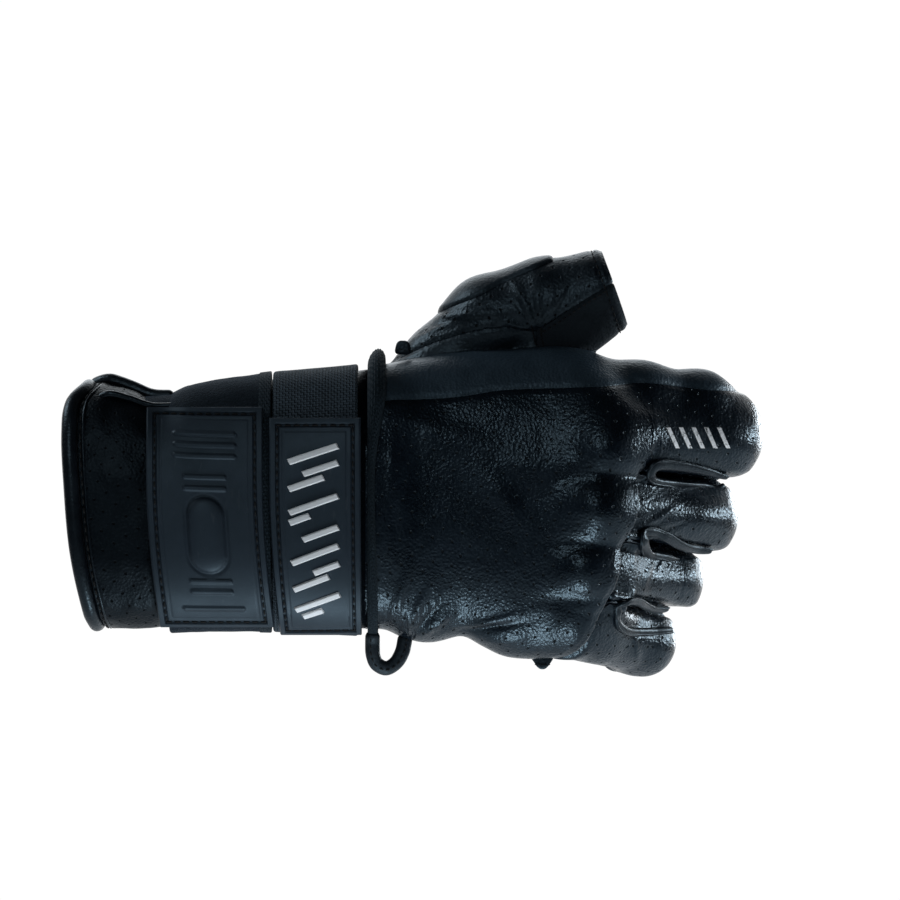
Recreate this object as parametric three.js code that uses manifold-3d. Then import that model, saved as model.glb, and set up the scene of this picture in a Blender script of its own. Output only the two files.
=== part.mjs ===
// A half-finger slide glove for the right hand, in the half-closed form that it has when worn.
// Millimetres. X runs from the wrist opening towards the fingers, Z towards the thumb and Y from the
// back of the hand towards the palm. The origin is the middle of the wrist opening.
import * as THREE from "three";
import { mergeVertices } from "three/addons/utils/BufferGeometryUtils.js";
import Module from "manifold-3d";

const wasm = await Module();
wasm.setup();

// Walls, layers and gaps
const LEATHER = 1.8;
const CUFF_WALL = 2.6;
const GAP = 0.35;
const STRAP = 2.0;
const BINDING = 5.0;
const PULL_CORD = 4.1;
const PIPING = 2.2;
const PIPING_CLEAR = 0.7;
const OVERLAY = 1.0;
const FINGER_GAP = 0.9;

// How widely neighbouring forms melt into each other
const BLEND_FINGER_ROOT = 9;
const BLEND_JOINT = 4;
const BLEND_SIDE_FOLD = 6;
const BLEND_BETWEEN_FINGERS = 0.8;
const BLEND_THUMB = 8;
const BLEND_KNUCKLE_END = 16;

// A table of rows with named columns, as a list of objects
function table(columns, rows) {
  return rows.map((row) => Object.fromEntries(columns.map((name, i) => [name, row[i]])));
}

// Sections across the arm and hand: the highest and lowest Z, the Y of the back and palm, and how
// square each is
const SECTIONS = table(
  ["x", "top", "bottom", "back", "palm", "square"],
  [
    [-6.0, 36.6, -35.0, -25.5, 25.5, 2.9],
    [0.0, 37.6, -36.6, -25.5, 25.5, 2.9],
    [8.8, 38.2, -38.4, -26.0, 26.0, 2.9],
    [13.0, 37.0, -38.3, -26.0, 26.0, 2.9],
    [20.0, 35.2, -38.1, -26.0, 26.0, 2.9],
    [29.0, 32.2, -37.8, -26.0, 26.0, 2.9],
    [37.0, 35.1, -37.4, -26.0, 26.0, 2.9],
    [60.3, 39.0, -37.2, -26.0, 26.0, 2.9],
    [90.0, 41.8, -38.6, -26.0, 26.0, 2.9],
    [97.8, 44.0, -38.9, -25.0, 27.0, 2.8],
    [103.0, 45.0, -41.2, -23.8, 27.5, 2.7],
    [108.8, 45.9, -42.4, -22.5, 28.0, 2.6],
    [121.3, 47.5, -42.0, -21.5, 28.0, 2.5],
    [133.8, 48.2, -44.4, -21.0, 26.0, 2.45],
    [146.3, 48.4, -46.6, -20.5, 24.0, 2.4],
    [157.2, 47.2, -45.9, -21.0, 21.0, 2.4],
    [165.0, 43.7, -43.8, -21.0, 19.0, 2.4],
    [172.8, 36.5, -40.9, -19.0, 18.0, 2.4],
    [180.6, 26.6, -32.8, -14.0, 17.0, 2.4],
  ],
);

// The row of knuckles ends the hand on this slanted plane
const KNUCKLE_END = { x: 176, slantZ: 0.16 };

// Digit joints from the knuckle to the sleeve's end: place and radius. side_fold is the leather that
// stretches from the thumb along the index finger.
const JOINT_COLUMNS = ["x", "y", "z", "radius"];
const DIGITS = {
  index: table(JOINT_COLUMNS, [
    [168.8, -7, 20.3, 13.0],
    [203.8, 19, 20.9, 11.6],
    [197.8, 34, 22.2, 10.8],
  ]),
  middle: table(JOINT_COLUMNS, [
    [166.3, -9, -0.9, 12.0],
    [195.9, 26, -4.1, 10.6],
    [187.5, 37, -3.4, 10.0],
  ]),
  ring: table(JOINT_COLUMNS, [
    [161.9, -7, -20.9, 11.0],
    [185.6, 29, -24.4, 9.4],
    [176.3, 38, -24.4, 9.0],
  ]),
  little: table(JOINT_COLUMNS, [
    [156.9, -1, -35.9, 10.5],
    [177.5, 27, -42.5, 8.8],
    [169.4, 35.5, -42.5, 8.4],
  ]),
};
const FINGERS = Object.keys(DIGITS);

// Heights that part each finger from the next at the knuckles and at the bend, which are places along
// x + y, and how far past those two places the heights go on changing
const PARTING_ROOT = 160;
const PARTING_LENGTH = 55;
const PARTING_SHARES = [-0.3, 1.2];
const PARTINGS = table(
  ["root", "bend"],
  [
    [10.2, 7.9],
    [-10.6, -14.9],
    [-30.0, -33.7],
  ],
);
const SIDE_FOLD = table(JOINT_COLUMNS, [
  [152.5, 6, 36.6, 11.0],
  [177.5, 6, 34.0, 10.0],
  [196.3, 14, 31.6, 9.5],
  [204.6, 20, 27.8, 8.5],
]);
const THUMB = table(JOINT_COLUMNS, [
  [106.0, 12, 38.0, 9.2],
  [116.5, 12, 45.5, 10.6],
  [130.8, 11, 57.4, 12.2],
  [147.8, 9, 63.4, 11.6],
  [165.0, 8, 66.8, 11.0],
  [177.5, 8, 70.4, 10.6],
]);
// The leather that spans from the thumb's end down to the side of the hand
const THUMB_WEB = table(JOINT_COLUMNS, [
  [176.0, 8, 69.5, 8.2],
  [160.0, 8, 58.0, 8.2],
  [147.0, 8, 48.0, 9.0],
]);
const THUMB_END = { at: new THREE.Vector3(169.8, 8, 68.0), normal: new THREE.Vector3(0.942, 0, 0.336) };

// Where the thumb's perforated top meets its smooth underside, and the inner edge of its outer guard,
// both drawn on the back view
const THUMB_SEAM = table(
  ["x", "z"],
  [
    [98.8, 44.7],
    [115.0, 51.6],
    [133.8, 55.6],
    [144.7, 54.4],
    [157.2, 62.2],
    [168.8, 69.4],
    [176.0, 73.0],
  ],
);
const GUARD_EDGE = table(
  ["x", "z"],
  [
    [108, 57.0],
    [114, 60.0],
    [124.4, 64.0],
    [133.8, 68.8],
    [149.4, 75.9],
  ],
);
const GUARD = { first: 3, last: 9, clear: 0.55 };

// Planes of the hand's rings, x = at + slantZ * z + slantY * y, turning from straight across the wrist
// to square across the bent fingers, and the Y of the middle of the hand there
const HAND_RINGS = table(
  ["at", "slantZ", "slantY", "middle"],
  [
    [93.6, 0, 0, 0],
    [99, 0, 0, 0],
    [106, 0, -0.03, 1],
    [114, 0, -0.08, 2],
    [122, 0.01, -0.15, 2],
    [130, 0.03, -0.25, 2],
    [138, 0.07, -0.38, 1],
    [145, 0.1, -0.52, 1],
    [150, 0.14, -0.64, 1],
    [155, 0.18, -0.77, 2],
    [159, 0.21, -0.88, 3],
    [163, 0.24, -1.0, 4],
  ],
);

// Height of the seam between the perforated back and the smooth side panel
const SIDE_SEAM = table(
  ["x", "z"],
  [
    [90, 32.5],
    [98, 32.8],
    [120, 33.8],
    [134, 35.9],
    [165, 37.2],
    [178, 38.4],
    [200, 36],
  ],
);

// Scalar blending and interpolation
function softMin(a, b, k) {
  const h = Math.max(k - Math.abs(a - b), 0) / k;
  return Math.min(a, b) - (h * h * k) / 4;
}

function softMax(a, b, k) {
  return -softMin(-a, -b, k);
}

// A smooth curve through a table's rows, flat past its ends
function smooth(rows, key, name, value) {
  const last = rows.length - 1;
  if (value <= rows[0][key]) return rows[0][name];
  if (value >= rows[last][key]) return rows[last][name];
  const i = rows.findIndex((row, n) => n < last && value <= rows[n + 1][key]);
  const slope = (n) => {
    const a = rows[Math.max(n - 1, 0)];
    const b = rows[Math.min(n + 1, last)];
    return (b[name] - a[name]) / (b[key] - a[key]);
  };
  const span = rows[i + 1][key] - rows[i][key];
  const t = (value - rows[i][key]) / span;
  const rise = 3 * t * t - 2 * t * t * t;
  return (
    (1 - rise) * rows[i][name] +
    rise * rows[i + 1][name] +
    (t - 2 * t * t + t * t * t) * span * slope(i) +
    (t * t * t - t * t) * span * slope(i + 1)
  );
}

// Distance from a point to a cone with round ends
function roundCone(p, a, b) {
  const start = new THREE.Vector3(a.x, a.y, a.z);
  const axis = new THREE.Vector3(b.x, b.y, b.z).sub(start);
  const fromStart = p.clone().sub(start);
  const length2 = axis.lengthSq();
  const taper = a.radius - b.radius;
  const side2 = length2 - taper * taper;
  const along = fromStart.dot(axis);
  const past = along - length2;
  const across2 = fromStart.multiplyScalar(length2).addScaledVector(axis, -along).lengthSq();
  const k = Math.sign(taper) * taper * taper * across2;
  if (Math.sign(past) * side2 * past * past * length2 > k) {
    return Math.sqrt(across2 + past * past * length2) / length2 - b.radius;
  }
  if (Math.sign(along) * side2 * along * along * length2 < k) {
    return Math.sqrt(across2 + along * along * length2) / length2 - a.radius;
  }
  return (Math.sqrt((across2 * side2) / length2) + along * taper) / length2 - a.radius;
}

// Distance fields: negative inside the form, positive outside
function chainField(p, joints, blend) {
  let d = Infinity;
  for (let i = 0; i + 1 < joints.length; i++) {
    const part = roundCone(p, joints[i], joints[i + 1]);
    d = i ? softMin(d, part, blend) : part;
  }
  return d;
}

function sleeveField(p) {
  const { top, bottom, back, palm, square } = Object.fromEntries(
    ["top", "bottom", "back", "palm", "square"].map((name) => [name, smooth(SECTIONS, "x", name, p.x)]),
  );
  const z = p.z - (top + bottom) / 2;
  const halfHeight = (top - bottom) / 2;
  const halfDepth = p.y < 0 ? -back : palm;
  const q = Math.pow(
    Math.pow(Math.abs(p.y) / halfDepth, square) + Math.pow(Math.abs(z) / halfHeight, square),
    1 / square,
  );
  const reach = Math.hypot(p.y, z);
  return q < 0.2 ? -Math.min(halfDepth, halfHeight) * (1 - q) : reach * (1 - 1 / q);
}

function palmField(p) {
  const past = p.x - (KNUCKLE_END.x + KNUCKLE_END.slantZ * p.z);
  return softMax(sleeveField(p), past, BLEND_KNUCKLE_END);
}

function fingerField(p, name) {
  const finger = chainField(p, DIGITS[name], BLEND_JOINT);
  if (name !== "index") return finger;
  return softMin(finger, chainField(p, SIDE_FOLD, BLEND_SIDE_FOLD), BLEND_SIDE_FOLD);
}

function handField(p) {
  const fingers = FINGERS.map((name) => fingerField(p, name)).reduce((a, b) =>
    softMin(a, b, BLEND_BETWEEN_FINGERS),
  );
  return softMin(palmField(p), fingers, BLEND_FINGER_ROOT);
}

function thumbField(p) {
  return softMin(chainField(p, THUMB, BLEND_THUMB), chainField(p, THUMB_WEB, BLEND_THUMB), BLEND_JOINT);
}

// One finger's share of the hand, between the surfaces that part it from its neighbours
function fingerShareField(p, name) {
  const along = THREE.MathUtils.clamp((p.x + p.y - PARTING_ROOT) / PARTING_LENGTH, ...PARTING_SHARES);
  const heights = PARTINGS.map(({ root, bend }) => root + (bend - root) * along);
  const i = FINGERS.indexOf(name);
  const above = i > 0 ? p.z - heights[i - 1] : -Infinity;
  const below = i < heights.length ? heights[i] - p.z : -Infinity;
  return softMax(handField(p), Math.max(above, below) + FINGER_GAP / 2, 1);
}

function outward(field, p) {
  const step = 0.05;
  const slope = (x, y, z) => {
    const shift = new THREE.Vector3(x, y, z).multiplyScalar(step);
    return field(p.clone().add(shift)) - field(p.clone().sub(shift));
  };
  return new THREE.Vector3(slope(1, 0, 0), slope(0, 1, 0), slope(0, 0, 1)).normalize();
}

// Where a ray from inside leaves the form
function exit(field, from, direction, level = 0) {
  let low = 0;
  let high = 0.5;
  while (field(from.clone().addScaledVector(direction, high)) < level && high < 90) {
    low = high;
    high += 0.5;
  }
  for (let i = 0; i < 18; i++) {
    const middle = (low + high) / 2;
    if (field(from.clone().addScaledVector(direction, middle)) < level) low = middle;
    else high = middle;
  }
  return from.clone().addScaledVector(direction, low);
}

// Where a ray that starts clear of the back of the hand first comes within a height of the form
const CLEAR_OF_BACK = 60;

function land(field, x, z, height) {
  const p = new THREE.Vector3(x, -CLEAR_OF_BACK, z);
  for (let i = 0; i < 200; i++) {
    const d = field(p) - height;
    if (Math.abs(d) < 1e-3) break;
    p.y += d / 2;
  }
  return p;
}

// A ring goes round like a running track. Its station runs 0 to 1 down the back, 1 to 2 round the
// little-finger edge, 2 to 3 up the palm and 3 to 4 round the thumb edge.
const TRACK_INSET = 21;

function ringSurface(field, plane, station) {
  const turned = ((station % 4) + 4) % 4;
  const leg = Math.floor(turned);
  const share = turned - leg;
  const top = smooth(SECTIONS, "x", "top", plane.at) - TRACK_INSET;
  const bottom = smooth(SECTIONS, "x", "bottom", plane.at) + TRACK_INSET;
  const z = [top + (bottom - top) * share, bottom, bottom + (top - bottom) * share, top][leg];
  const angle = Math.PI * [0, share, 1, 1 + share][leg];
  const y = -Math.cos(angle);
  const rise = -Math.sin(angle);
  const x = plane.at + plane.slantZ * z + plane.slantY * plane.middle;
  const direction = new THREE.Vector3(plane.slantZ * rise + plane.slantY * y, y, rise).normalize();
  return surfaceFrom(field, new THREE.Vector3(x, plane.middle, z), direction);
}

function surfaceFrom(field, from, direction) {
  const point = exit(field, from, direction);
  return { point, normal: outward(field, point) };
}

// Halves an interval until a falling value passes a level
function search(low, high, level, valueAt) {
  for (let i = 0; i < 16; i++) {
    const middle = (low + high) / 2;
    if (valueAt(middle) > level) low = middle;
    else high = middle;
  }
  return (low + high) / 2;
}

function steps(from, to, count) {
  return Array.from({ length: count + 1 }, (_, i) => from + ((to - from) * i) / count);
}

function wholeTurn(count) {
  return steps(0, 1, count).slice(0, -1);
}

// A skin is a grid of surface points with normals, and a wall lies between two heights above it
function lifted(skin, height) {
  const heightAt = typeof height === "function" ? height : () => height;
  return skin.map((row) => row.map((s) => s.point.clone().addScaledVector(s.normal, heightAt(s))));
}

function wall(skin, low, high, round = false) {
  return gridWall(lifted(skin, high), lifted(skin, low), round);
}

function gridWall(outer, inner, round) {
  const rows = outer.length;
  const columns = outer[0].length;
  const spans = round ? columns : columns - 1;
  const far = rows * columns;
  const at = (i, j) => i * columns + (j % columns);
  const index = [];
  const quad = (a, b, c, d) => index.push(a, b, c, a, c, d);
  const rim = (a, b) => quad(b, a, far + a, far + b);
  for (let i = 0; i + 1 < rows; i++) {
    for (let j = 0; j < spans; j++) {
      const corners = [at(i, j), at(i, j + 1), at(i + 1, j + 1), at(i + 1, j)];
      quad(...corners);
      quad(...corners.map((corner) => far + corner).reverse());
    }
  }
  for (let j = 0; j < spans; j++) {
    rim(at(0, j), at(0, j + 1));
    rim(at(rows - 1, j + 1), at(rows - 1, j));
  }
  for (let i = 0; i + 1 < rows && !round; i++) {
    rim(at(i + 1, 0), at(i, 0));
    rim(at(i, columns - 1), at(i + 1, columns - 1));
  }
  return closed([...outer.flat(), ...inner.flat()], index);
}

// A solid through rings of points, with flat ends
function core(rings) {
  const columns = rings[0].length;
  const index = [];
  for (let i = 0; i + 1 < rings.length; i++) {
    for (let j = 0; j < columns; j++) {
      const k = (j + 1) % columns;
      const [near, next] = [i * columns, (i + 1) * columns];
      index.push(near + j, near + k, next + k, near + j, next + k, next + j);
    }
  }
  const centres = [rings[0], rings.at(-1)].map((ring) =>
    ring.reduce((sum, p) => sum.add(p), new THREE.Vector3()).divideScalar(columns),
  );
  const end = (rings.length - 1) * columns;
  const middle = rings.length * columns;
  for (let j = 0; j < columns; j++) {
    const k = (j + 1) % columns;
    index.push(middle, k, j, middle + 1, end + j, end + k);
  }
  return closed([...rings.flat(), ...centres], index);
}

// A closed loop of a closed section
function torus(sections) {
  const columns = sections[0].length;
  const index = [];
  sections.forEach((_, i) => {
    const [near, next] = [i * columns, ((i + 1) % sections.length) * columns];
    for (let j = 0; j < columns; j++) {
      const k = (j + 1) % columns;
      index.push(near + j, near + k, next + k, near + j, next + k, next + j);
    }
  });
  return closed(sections.flat(), index);
}

// A geometry from points and triangles, turned to face outwards
function closed(points, index) {
  let volume = 0;
  for (let i = 0; i < index.length; i += 3) {
    const [a, b, c] = [points[index[i]], points[index[i + 1]], points[index[i + 2]]];
    volume += a.dot(b.clone().cross(c));
  }
  return new THREE.BufferGeometry().setFromPoints(points).setIndex(volume < 0 ? index.reverse() : index);
}

function tube(points, diameter, sides, count) {
  const circle = new THREE.Shape(
    wholeTurn(sides).map((share) => {
      const angle = 2 * Math.PI * share;
      return new THREE.Vector2(Math.cos(angle), Math.sin(angle)).multiplyScalar(diameter / 2);
    }),
  );
  const extrudePath = new THREE.CatmullRomCurve3(points, false, "centripetal");
  return new THREE.ExtrudeGeometry(circle, { steps: count, bevelEnabled: false, extrudePath });
}

// Cuts
function toSolid(geometry) {
  const bare = new THREE.BufferGeometry().setAttribute("position", geometry.getAttribute("position"));
  const merged = mergeVertices(bare.setIndex(geometry.index), 1e-4);
  const vertProperties = new Float32Array(merged.getAttribute("position").array);
  const triVerts = new Uint32Array(merged.index.array);
  return new wasm.Manifold(new wasm.Mesh({ numProp: 3, vertProperties, triVerts }));
}

// What is left of a piece outside another one, without the crumbs
function cut(geometry, tool) {
  const pieces = toSolid(geometry).subtract(toSolid(tool)).decompose();
  const mesh = pieces.sort((a, b) => b.volume() - a.volume())[0].getMesh();
  return new THREE.BufferGeometry()
    .setAttribute("position", new THREE.BufferAttribute(mesh.vertProperties, 3))
    .setIndex(new THREE.BufferAttribute(mesh.triVerts, 1));
}

// The hand's leather: three panels share the rings and meet at the side seam, the little-finger seam
// and the seam inside the thumb's root
const RING_STATIONS = 28;
const LITTLE_SEAM = 1.62;
const PALM_SEAM = 3.42;
const SEAM_GAP = 0.02;
const BACK_DEPTH = 16;

const BACK_COLUMNS = 18;
const SIDE_COLUMNS = 5;
const PALM_COLUMNS = 12;

function handSkin(fromAt, toAt, columns) {
  return HAND_RINGS.map((plane) =>
    steps(fromAt(plane), toAt(plane), columns).map((station) => ringSurface(handField, plane, station)),
  );
}

// The side seam's station on a ring, found where the ring crosses the back of the hand
function sideSeam(plane) {
  const backOfHand = plane.at - plane.slantY * BACK_DEPTH;
  const height = smooth(SIDE_SEAM, "x", "z", backOfHand);
  return -search(-0.2, 0.5, -height, (station) => -ringSurface(handField, plane, -station).point.z);
}

// The whole hand as one solid that shares the panels' corners
function handCore(skins, height) {
  return core(lifted(HAND_RINGS.map((_, i) => skins.flatMap((skin) => skin[i])), height));
}

// Surface points round an axis. Angle 0 faces the way that outside points, which is the back of the
// hand, and 90 degrees the thumb's side. A deep ring is measured like a running track: its middle moves
// towards the palm as the angle turns there, and PALM_TURN is how sharply.
const PALM_TURN = 1.3;
const BACKWARDS = new THREE.Vector3(0, -1, 0);

function ringAcross(field, centre, axis, angles, outside = BACKWARDS, deepened = false) {
  const up = new THREE.Vector3(0, 0, 1).addScaledVector(axis, -axis.z).normalize();
  const back = new THREE.Vector3().crossVectors(axis, up).normalize();
  if (back.dot(outside) < 0) back.negate();
  const near = exit(field, centre, back).distanceTo(centre);
  const deep = exit(field, centre, back.clone().negate()).distanceTo(centre);
  const reach = deepened ? Math.max(0, deep - near) : 0;
  return angles.map((angle) => {
    const direction = back.clone().multiplyScalar(Math.cos(angle)).addScaledVector(up, Math.sin(angle));
    const towardsPalm = THREE.MathUtils.clamp(0.5 - PALM_TURN * Math.cos(angle), 0, 1);
    const from = centre.clone().addScaledVector(back, -reach * towardsPalm);
    return { ...surfaceFrom(field, from, direction), from, direction };
  });
}

// The thumb: rings from inside the hand to its slanted end
const THUMB_SIDES = 20;
const THUMB_RINGS = 12;
const THUMB_PALM_SEAM = -105;
const THUMB_SEAM_GAP = 1.2;
const THUMB_SPLIT = 0.6;
const THUMB_SPLIT_GAP = 0.006;
const THUMB_TOP_COLUMNS = 15;
const THUMB_BASE_COLUMNS = 7;
const GUARD_COLUMNS = 5;
const thumbCurve = new THREE.CatmullRomCurve3(
  [...THUMB.slice(0, 5), THUMB_END.at].map((j) => new THREE.Vector3(j.x, j.y, j.z)),
);

function thumbRing(u, degrees) {
  const angles = degrees.map(THREE.MathUtils.degToRad);
  if (u === 1) return ringAcross(thumbField, THUMB_END.at, THUMB_END.normal.clone().normalize(), angles);
  return ringAcross(thumbField, thumbCurve.getPointAt(u), thumbCurve.getTangentAt(u), angles);
}

function thumbSkin(fromAt, toAt, places, sides) {
  return places.map((u) => thumbRing(u, steps(fromAt(u), toAt(u), sides)));
}

// The angle on the thumb's back where its surface passes a line drawn on the back view
function thumbAngle(u, line) {
  return search(88, -100, 0, (angle) => {
    const { point } = thumbRing(u, [angle])[0];
    return point.z - smooth(line, "x", "z", point.x);
  });
}

function thumbCore(height) {
  const turn = wholeTurn(THUMB_SIDES).map((share) => 360 * share);
  return core(
    lifted(
      steps(0, 1, THUMB_RINGS).map((u) => thumbRing(u, turn)),
      height,
    ),
  );
}

// A finger sleeve: a ring in the plane of the finger roots, rings along the first bone that straighten
// up by LEAD_TURN, rings fanned round the bend from a pivot FAN_REACH radii away, and a ring at the cut end
const FINGER_SIDES = 16;
const LEAD_SHARES = [0.22, 0.46, 0.74];
const LEAD_TURN = 1.4;
const ROOT_GAP = 0.95;
const FAN_RINGS = 4;
const FAN_REACH = 1.3;

function fingerRings(name) {
  const [knuckle, bend, end] = DIGITS[name].map((j) => new THREE.Vector3(j.x, j.y, j.z));
  const reach = DIGITS[name][1].radius * FAN_REACH;
  const first = bend.clone().sub(knuckle).normalize();
  const second = end.clone().sub(bend).normalize();
  const spin = new THREE.Vector3().crossVectors(first, second).normalize();
  const bendAngle = first.angleTo(second);
  const root = HAND_RINGS.at(-1);
  const rootNormal = new THREE.Vector3(1, -root.slantY, -root.slantZ);
  const rootDistance =
    (root.at + ROOT_GAP * rootNormal.length() - rootNormal.dot(knuckle)) / rootNormal.dot(first);
  rootNormal.normalize();
  const hingeDistance = knuckle.distanceTo(bend) - reach * Math.tan(bendAngle / 2);
  const hinge = knuckle.clone().addScaledVector(first, hingeDistance);
  const inward = new THREE.Vector3().crossVectors(spin, first);
  const pivot = hinge.clone().addScaledVector(inward, reach);
  const angles = wholeTurn(FINGER_SIDES).map((part) => 2 * Math.PI * part);
  const share = (p) => fingerShareField(p, name);
  const outside = inward.clone().negate();
  const ring = (centre, axis, facing) => ringAcross(share, centre, axis, angles, facing, true);

  const rings = [ring(knuckle.clone().addScaledVector(first, rootDistance), rootNormal, outside)];
  for (const lead of LEAD_SHARES) {
    const distance = rootDistance + (hingeDistance - rootDistance) * lead;
    const axis = rootNormal.clone().lerp(first, Math.min(1, lead * LEAD_TURN)).normalize();
    rings.push(ring(knuckle.clone().addScaledVector(first, distance), axis, outside));
  }
  const arm = outside.clone();
  for (const turned of steps(0, bendAngle, FAN_RINGS)) {
    arm.copy(outside).applyAxisAngle(spin, turned);
    const axis = first.clone().applyAxisAngle(spin, turned);
    rings.push(ring(pivot.clone().addScaledVector(arm, reach), axis, arm));
  }
  rings.push(ring(end, second, arm));
  return rings;
}

// A sleeve's inner face is measured along the same rays as its outer one
function fingerSleeve(name) {
  const rings = fingerRings(name);
  const outer = rings.map((ring) => ring.map(({ point }) => point));
  const inner = rings.map((ring) =>
    ring.map(({ from, direction }) => exit((p) => fingerShareField(p, name), from, direction, -LEATHER)),
  );
  return gridWall(outer, inner, true);
}

// Piping round the slits between the fingers, drawn on the back view and laid on the leather
const SLITS = {
  index_middle_piping: table(["x", "z"], [
    [207, 9.6],
    [198, 11.6],
    [188, 13.6],
    [181.5, 13.8],
    [180, 10.2],
    [183, 6.8],
    [192, 6.2],
    [200, 5.0],
    [205, 3.8],
  ]),
  middle_ring_piping: table(["x", "z"], [
    [199.5, -13.8],
    [192, -12.6],
    [185, -9.6],
    [180, -8.6],
    [177.6, -11.6],
    [179.5, -15.2],
    [186, -15.8],
    [194, -15.4],
  ]),
  ring_little_piping: table(["x", "z"], [
    [187, -32.2],
    [181.5, -31.2],
    [177, -28.6],
    [172.6, -30.2],
    [169.8, -34.6],
    [171.5, -38.4],
    [178, -38.9],
    [184.5, -38.6],
  ]),
};

function slitPiping(rows) {
  const course = rows.map((row) => land(handField, row.x, row.z, PIPING / 2 + PIPING_CLEAR));
  return tube(course, PIPING, 6, 16);
}

// The cuff's surface. Its rim leans, and rounds back at the thumb-side corner.
const RIM = table(
  ["z", "x"],
  [
    [-38.5, 8.0],
    [-34.4, 6.3],
    [-14.0, 2.2],
    [7.8, 0.3],
    [23.4, -0.3],
    [32.8, 0.9],
    [38.0, 5.5],
  ],
);
const STRAPS = { wide_strap: [30.6, 62], elastic_strap: [62.9, 89.4] };
const CUFF_RINGS = [13, 21, 30.6, 37, 49.5, 62, 62.9, 76, 89.4, 92.6];
const RIM_PASSES = 3;
const rimX = (z) => smooth(RIM, "z", "x", z);

function cuffSurface(xOf, station) {
  const at = (x) => ringSurface(sleeveField, { at: x, slantZ: 0, slantY: 0, middle: 0 }, station);
  let surface = at(xOf(0));
  for (let i = 0; i < RIM_PASSES; i++) surface = at(xOf(surface.point.z));
  return surface;
}

function cuffRing(xOf) {
  return wholeTurn(RING_STATIONS).map((share) => cuffSurface(xOf, 4 * share));
}

function cuff() {
  const rings = [(z) => rimX(z) + BINDING / 2 + GAP, ...CUFF_RINGS.map((x) => () => x)];
  return wall(rings.map(cuffRing), -CUFF_WALL, 0, true);
}

function cuffBand([from, to]) {
  const rings = CUFF_RINGS.filter((x) => x >= from && x <= to);
  return wall(rings.map((x) => cuffRing(() => x)), GAP, GAP + STRAP, true);
}

// The rolled binding: a round section carried round the rim
function rimBinding(sides) {
  return torus(
    cuffRing(rimX).map(({ point, normal }) => {
      const out = normal.clone().setX(0).normalize();
      const centre = point.clone().addScaledVector(out, -CUFF_WALL / 2);
      return wholeTurn(sides).map((share) => {
        const angle = 2 * Math.PI * share;
        const offset = new THREE.Vector3(Math.cos(angle), 0, 0).addScaledVector(out, Math.sin(angle));
        return centre.clone().addScaledVector(offset, BINDING / 2);
      });
    }),
  );
}

// The bound edges of the cuff's opening, drawn on the back view along its thumb side
const OPENING_ROLLS = {
  flap_binding: {
    diameter: 4.2,
    course: table(["x", "z"], [
      [11.6, 37.8],
      [18, 36.2],
      [25, 34.6],
      [29, 33.4],
    ]),
  },
  slit_binding: {
    diameter: 2.4,
    course: table(["x", "z"], [
      [11.6, 33.0],
      [18, 33.0],
      [25, 31.8],
      [29.6, 30.4],
    ]),
  },
};

// Stations to search for a height: on the thumb edge and the top of the back, and from there down
const UPPER_STATIONS = [-0.48, 0.6];
const LOWER_STATIONS = [0.6, 1.5];

function openingRoll({ diameter, course }) {
  const height = diameter / 2 + GAP * 1.5;
  const centre = ({ x }, station) => {
    const { point, normal } = cuffSurface(() => x, station);
    return point.addScaledVector(normal, height);
  };
  const points = course.map((row) => {
    const station = search(...UPPER_STATIONS, row.z, (tried) => centre(row, tried).z);
    return centre(row, station);
  });
  return tube(points, diameter, 8, 8);
}

// Rubber plates stitched on the straps. Towards the little finger their edges slip towards the hand.
const PLATES = {
  wide_plate: { left: 23.8, right: 59.9, slipLeft: 5.2, slipRight: 4.6, top: 30.8, bottom: -38.2 },
  narrow_plate: { left: 61.9, right: 90.4, slipLeft: 4.0, slipRight: 0.3, top: 27.4, bottom: -40.6 },
};
const PLATE = { base: 2.85, thick: 2.4, relief: 0.8, border: 2.0, channel: 1.0 };
const SLIP = { from: 10, over: 50 };
const PLATE_MIDDLES = { down: 9, across: 3 };

// Lines across a plate: its border, the sunk channel inside that, and the middle
function plateLines(length, middles) {
  const channelEnd = PLATE.border + PLATE.channel;
  const side = [0, PLATE.border, PLATE.border + PLATE.channel / 2, channelEnd];
  const kinds = ["border", "border", "channel", "middle"];
  const lines = side.map((distance, i) => ({ share: distance / length, kind: kinds[i] }));
  const mirrored = lines.map(({ share, kind }) => ({ share: 1 - share, kind })).reverse();
  const between = steps(channelEnd / length, 1 - channelEnd / length, middles).slice(1, -1);
  return [...lines, ...between.map((share) => ({ share, kind: "middle" })), ...mirrored];
}

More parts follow.
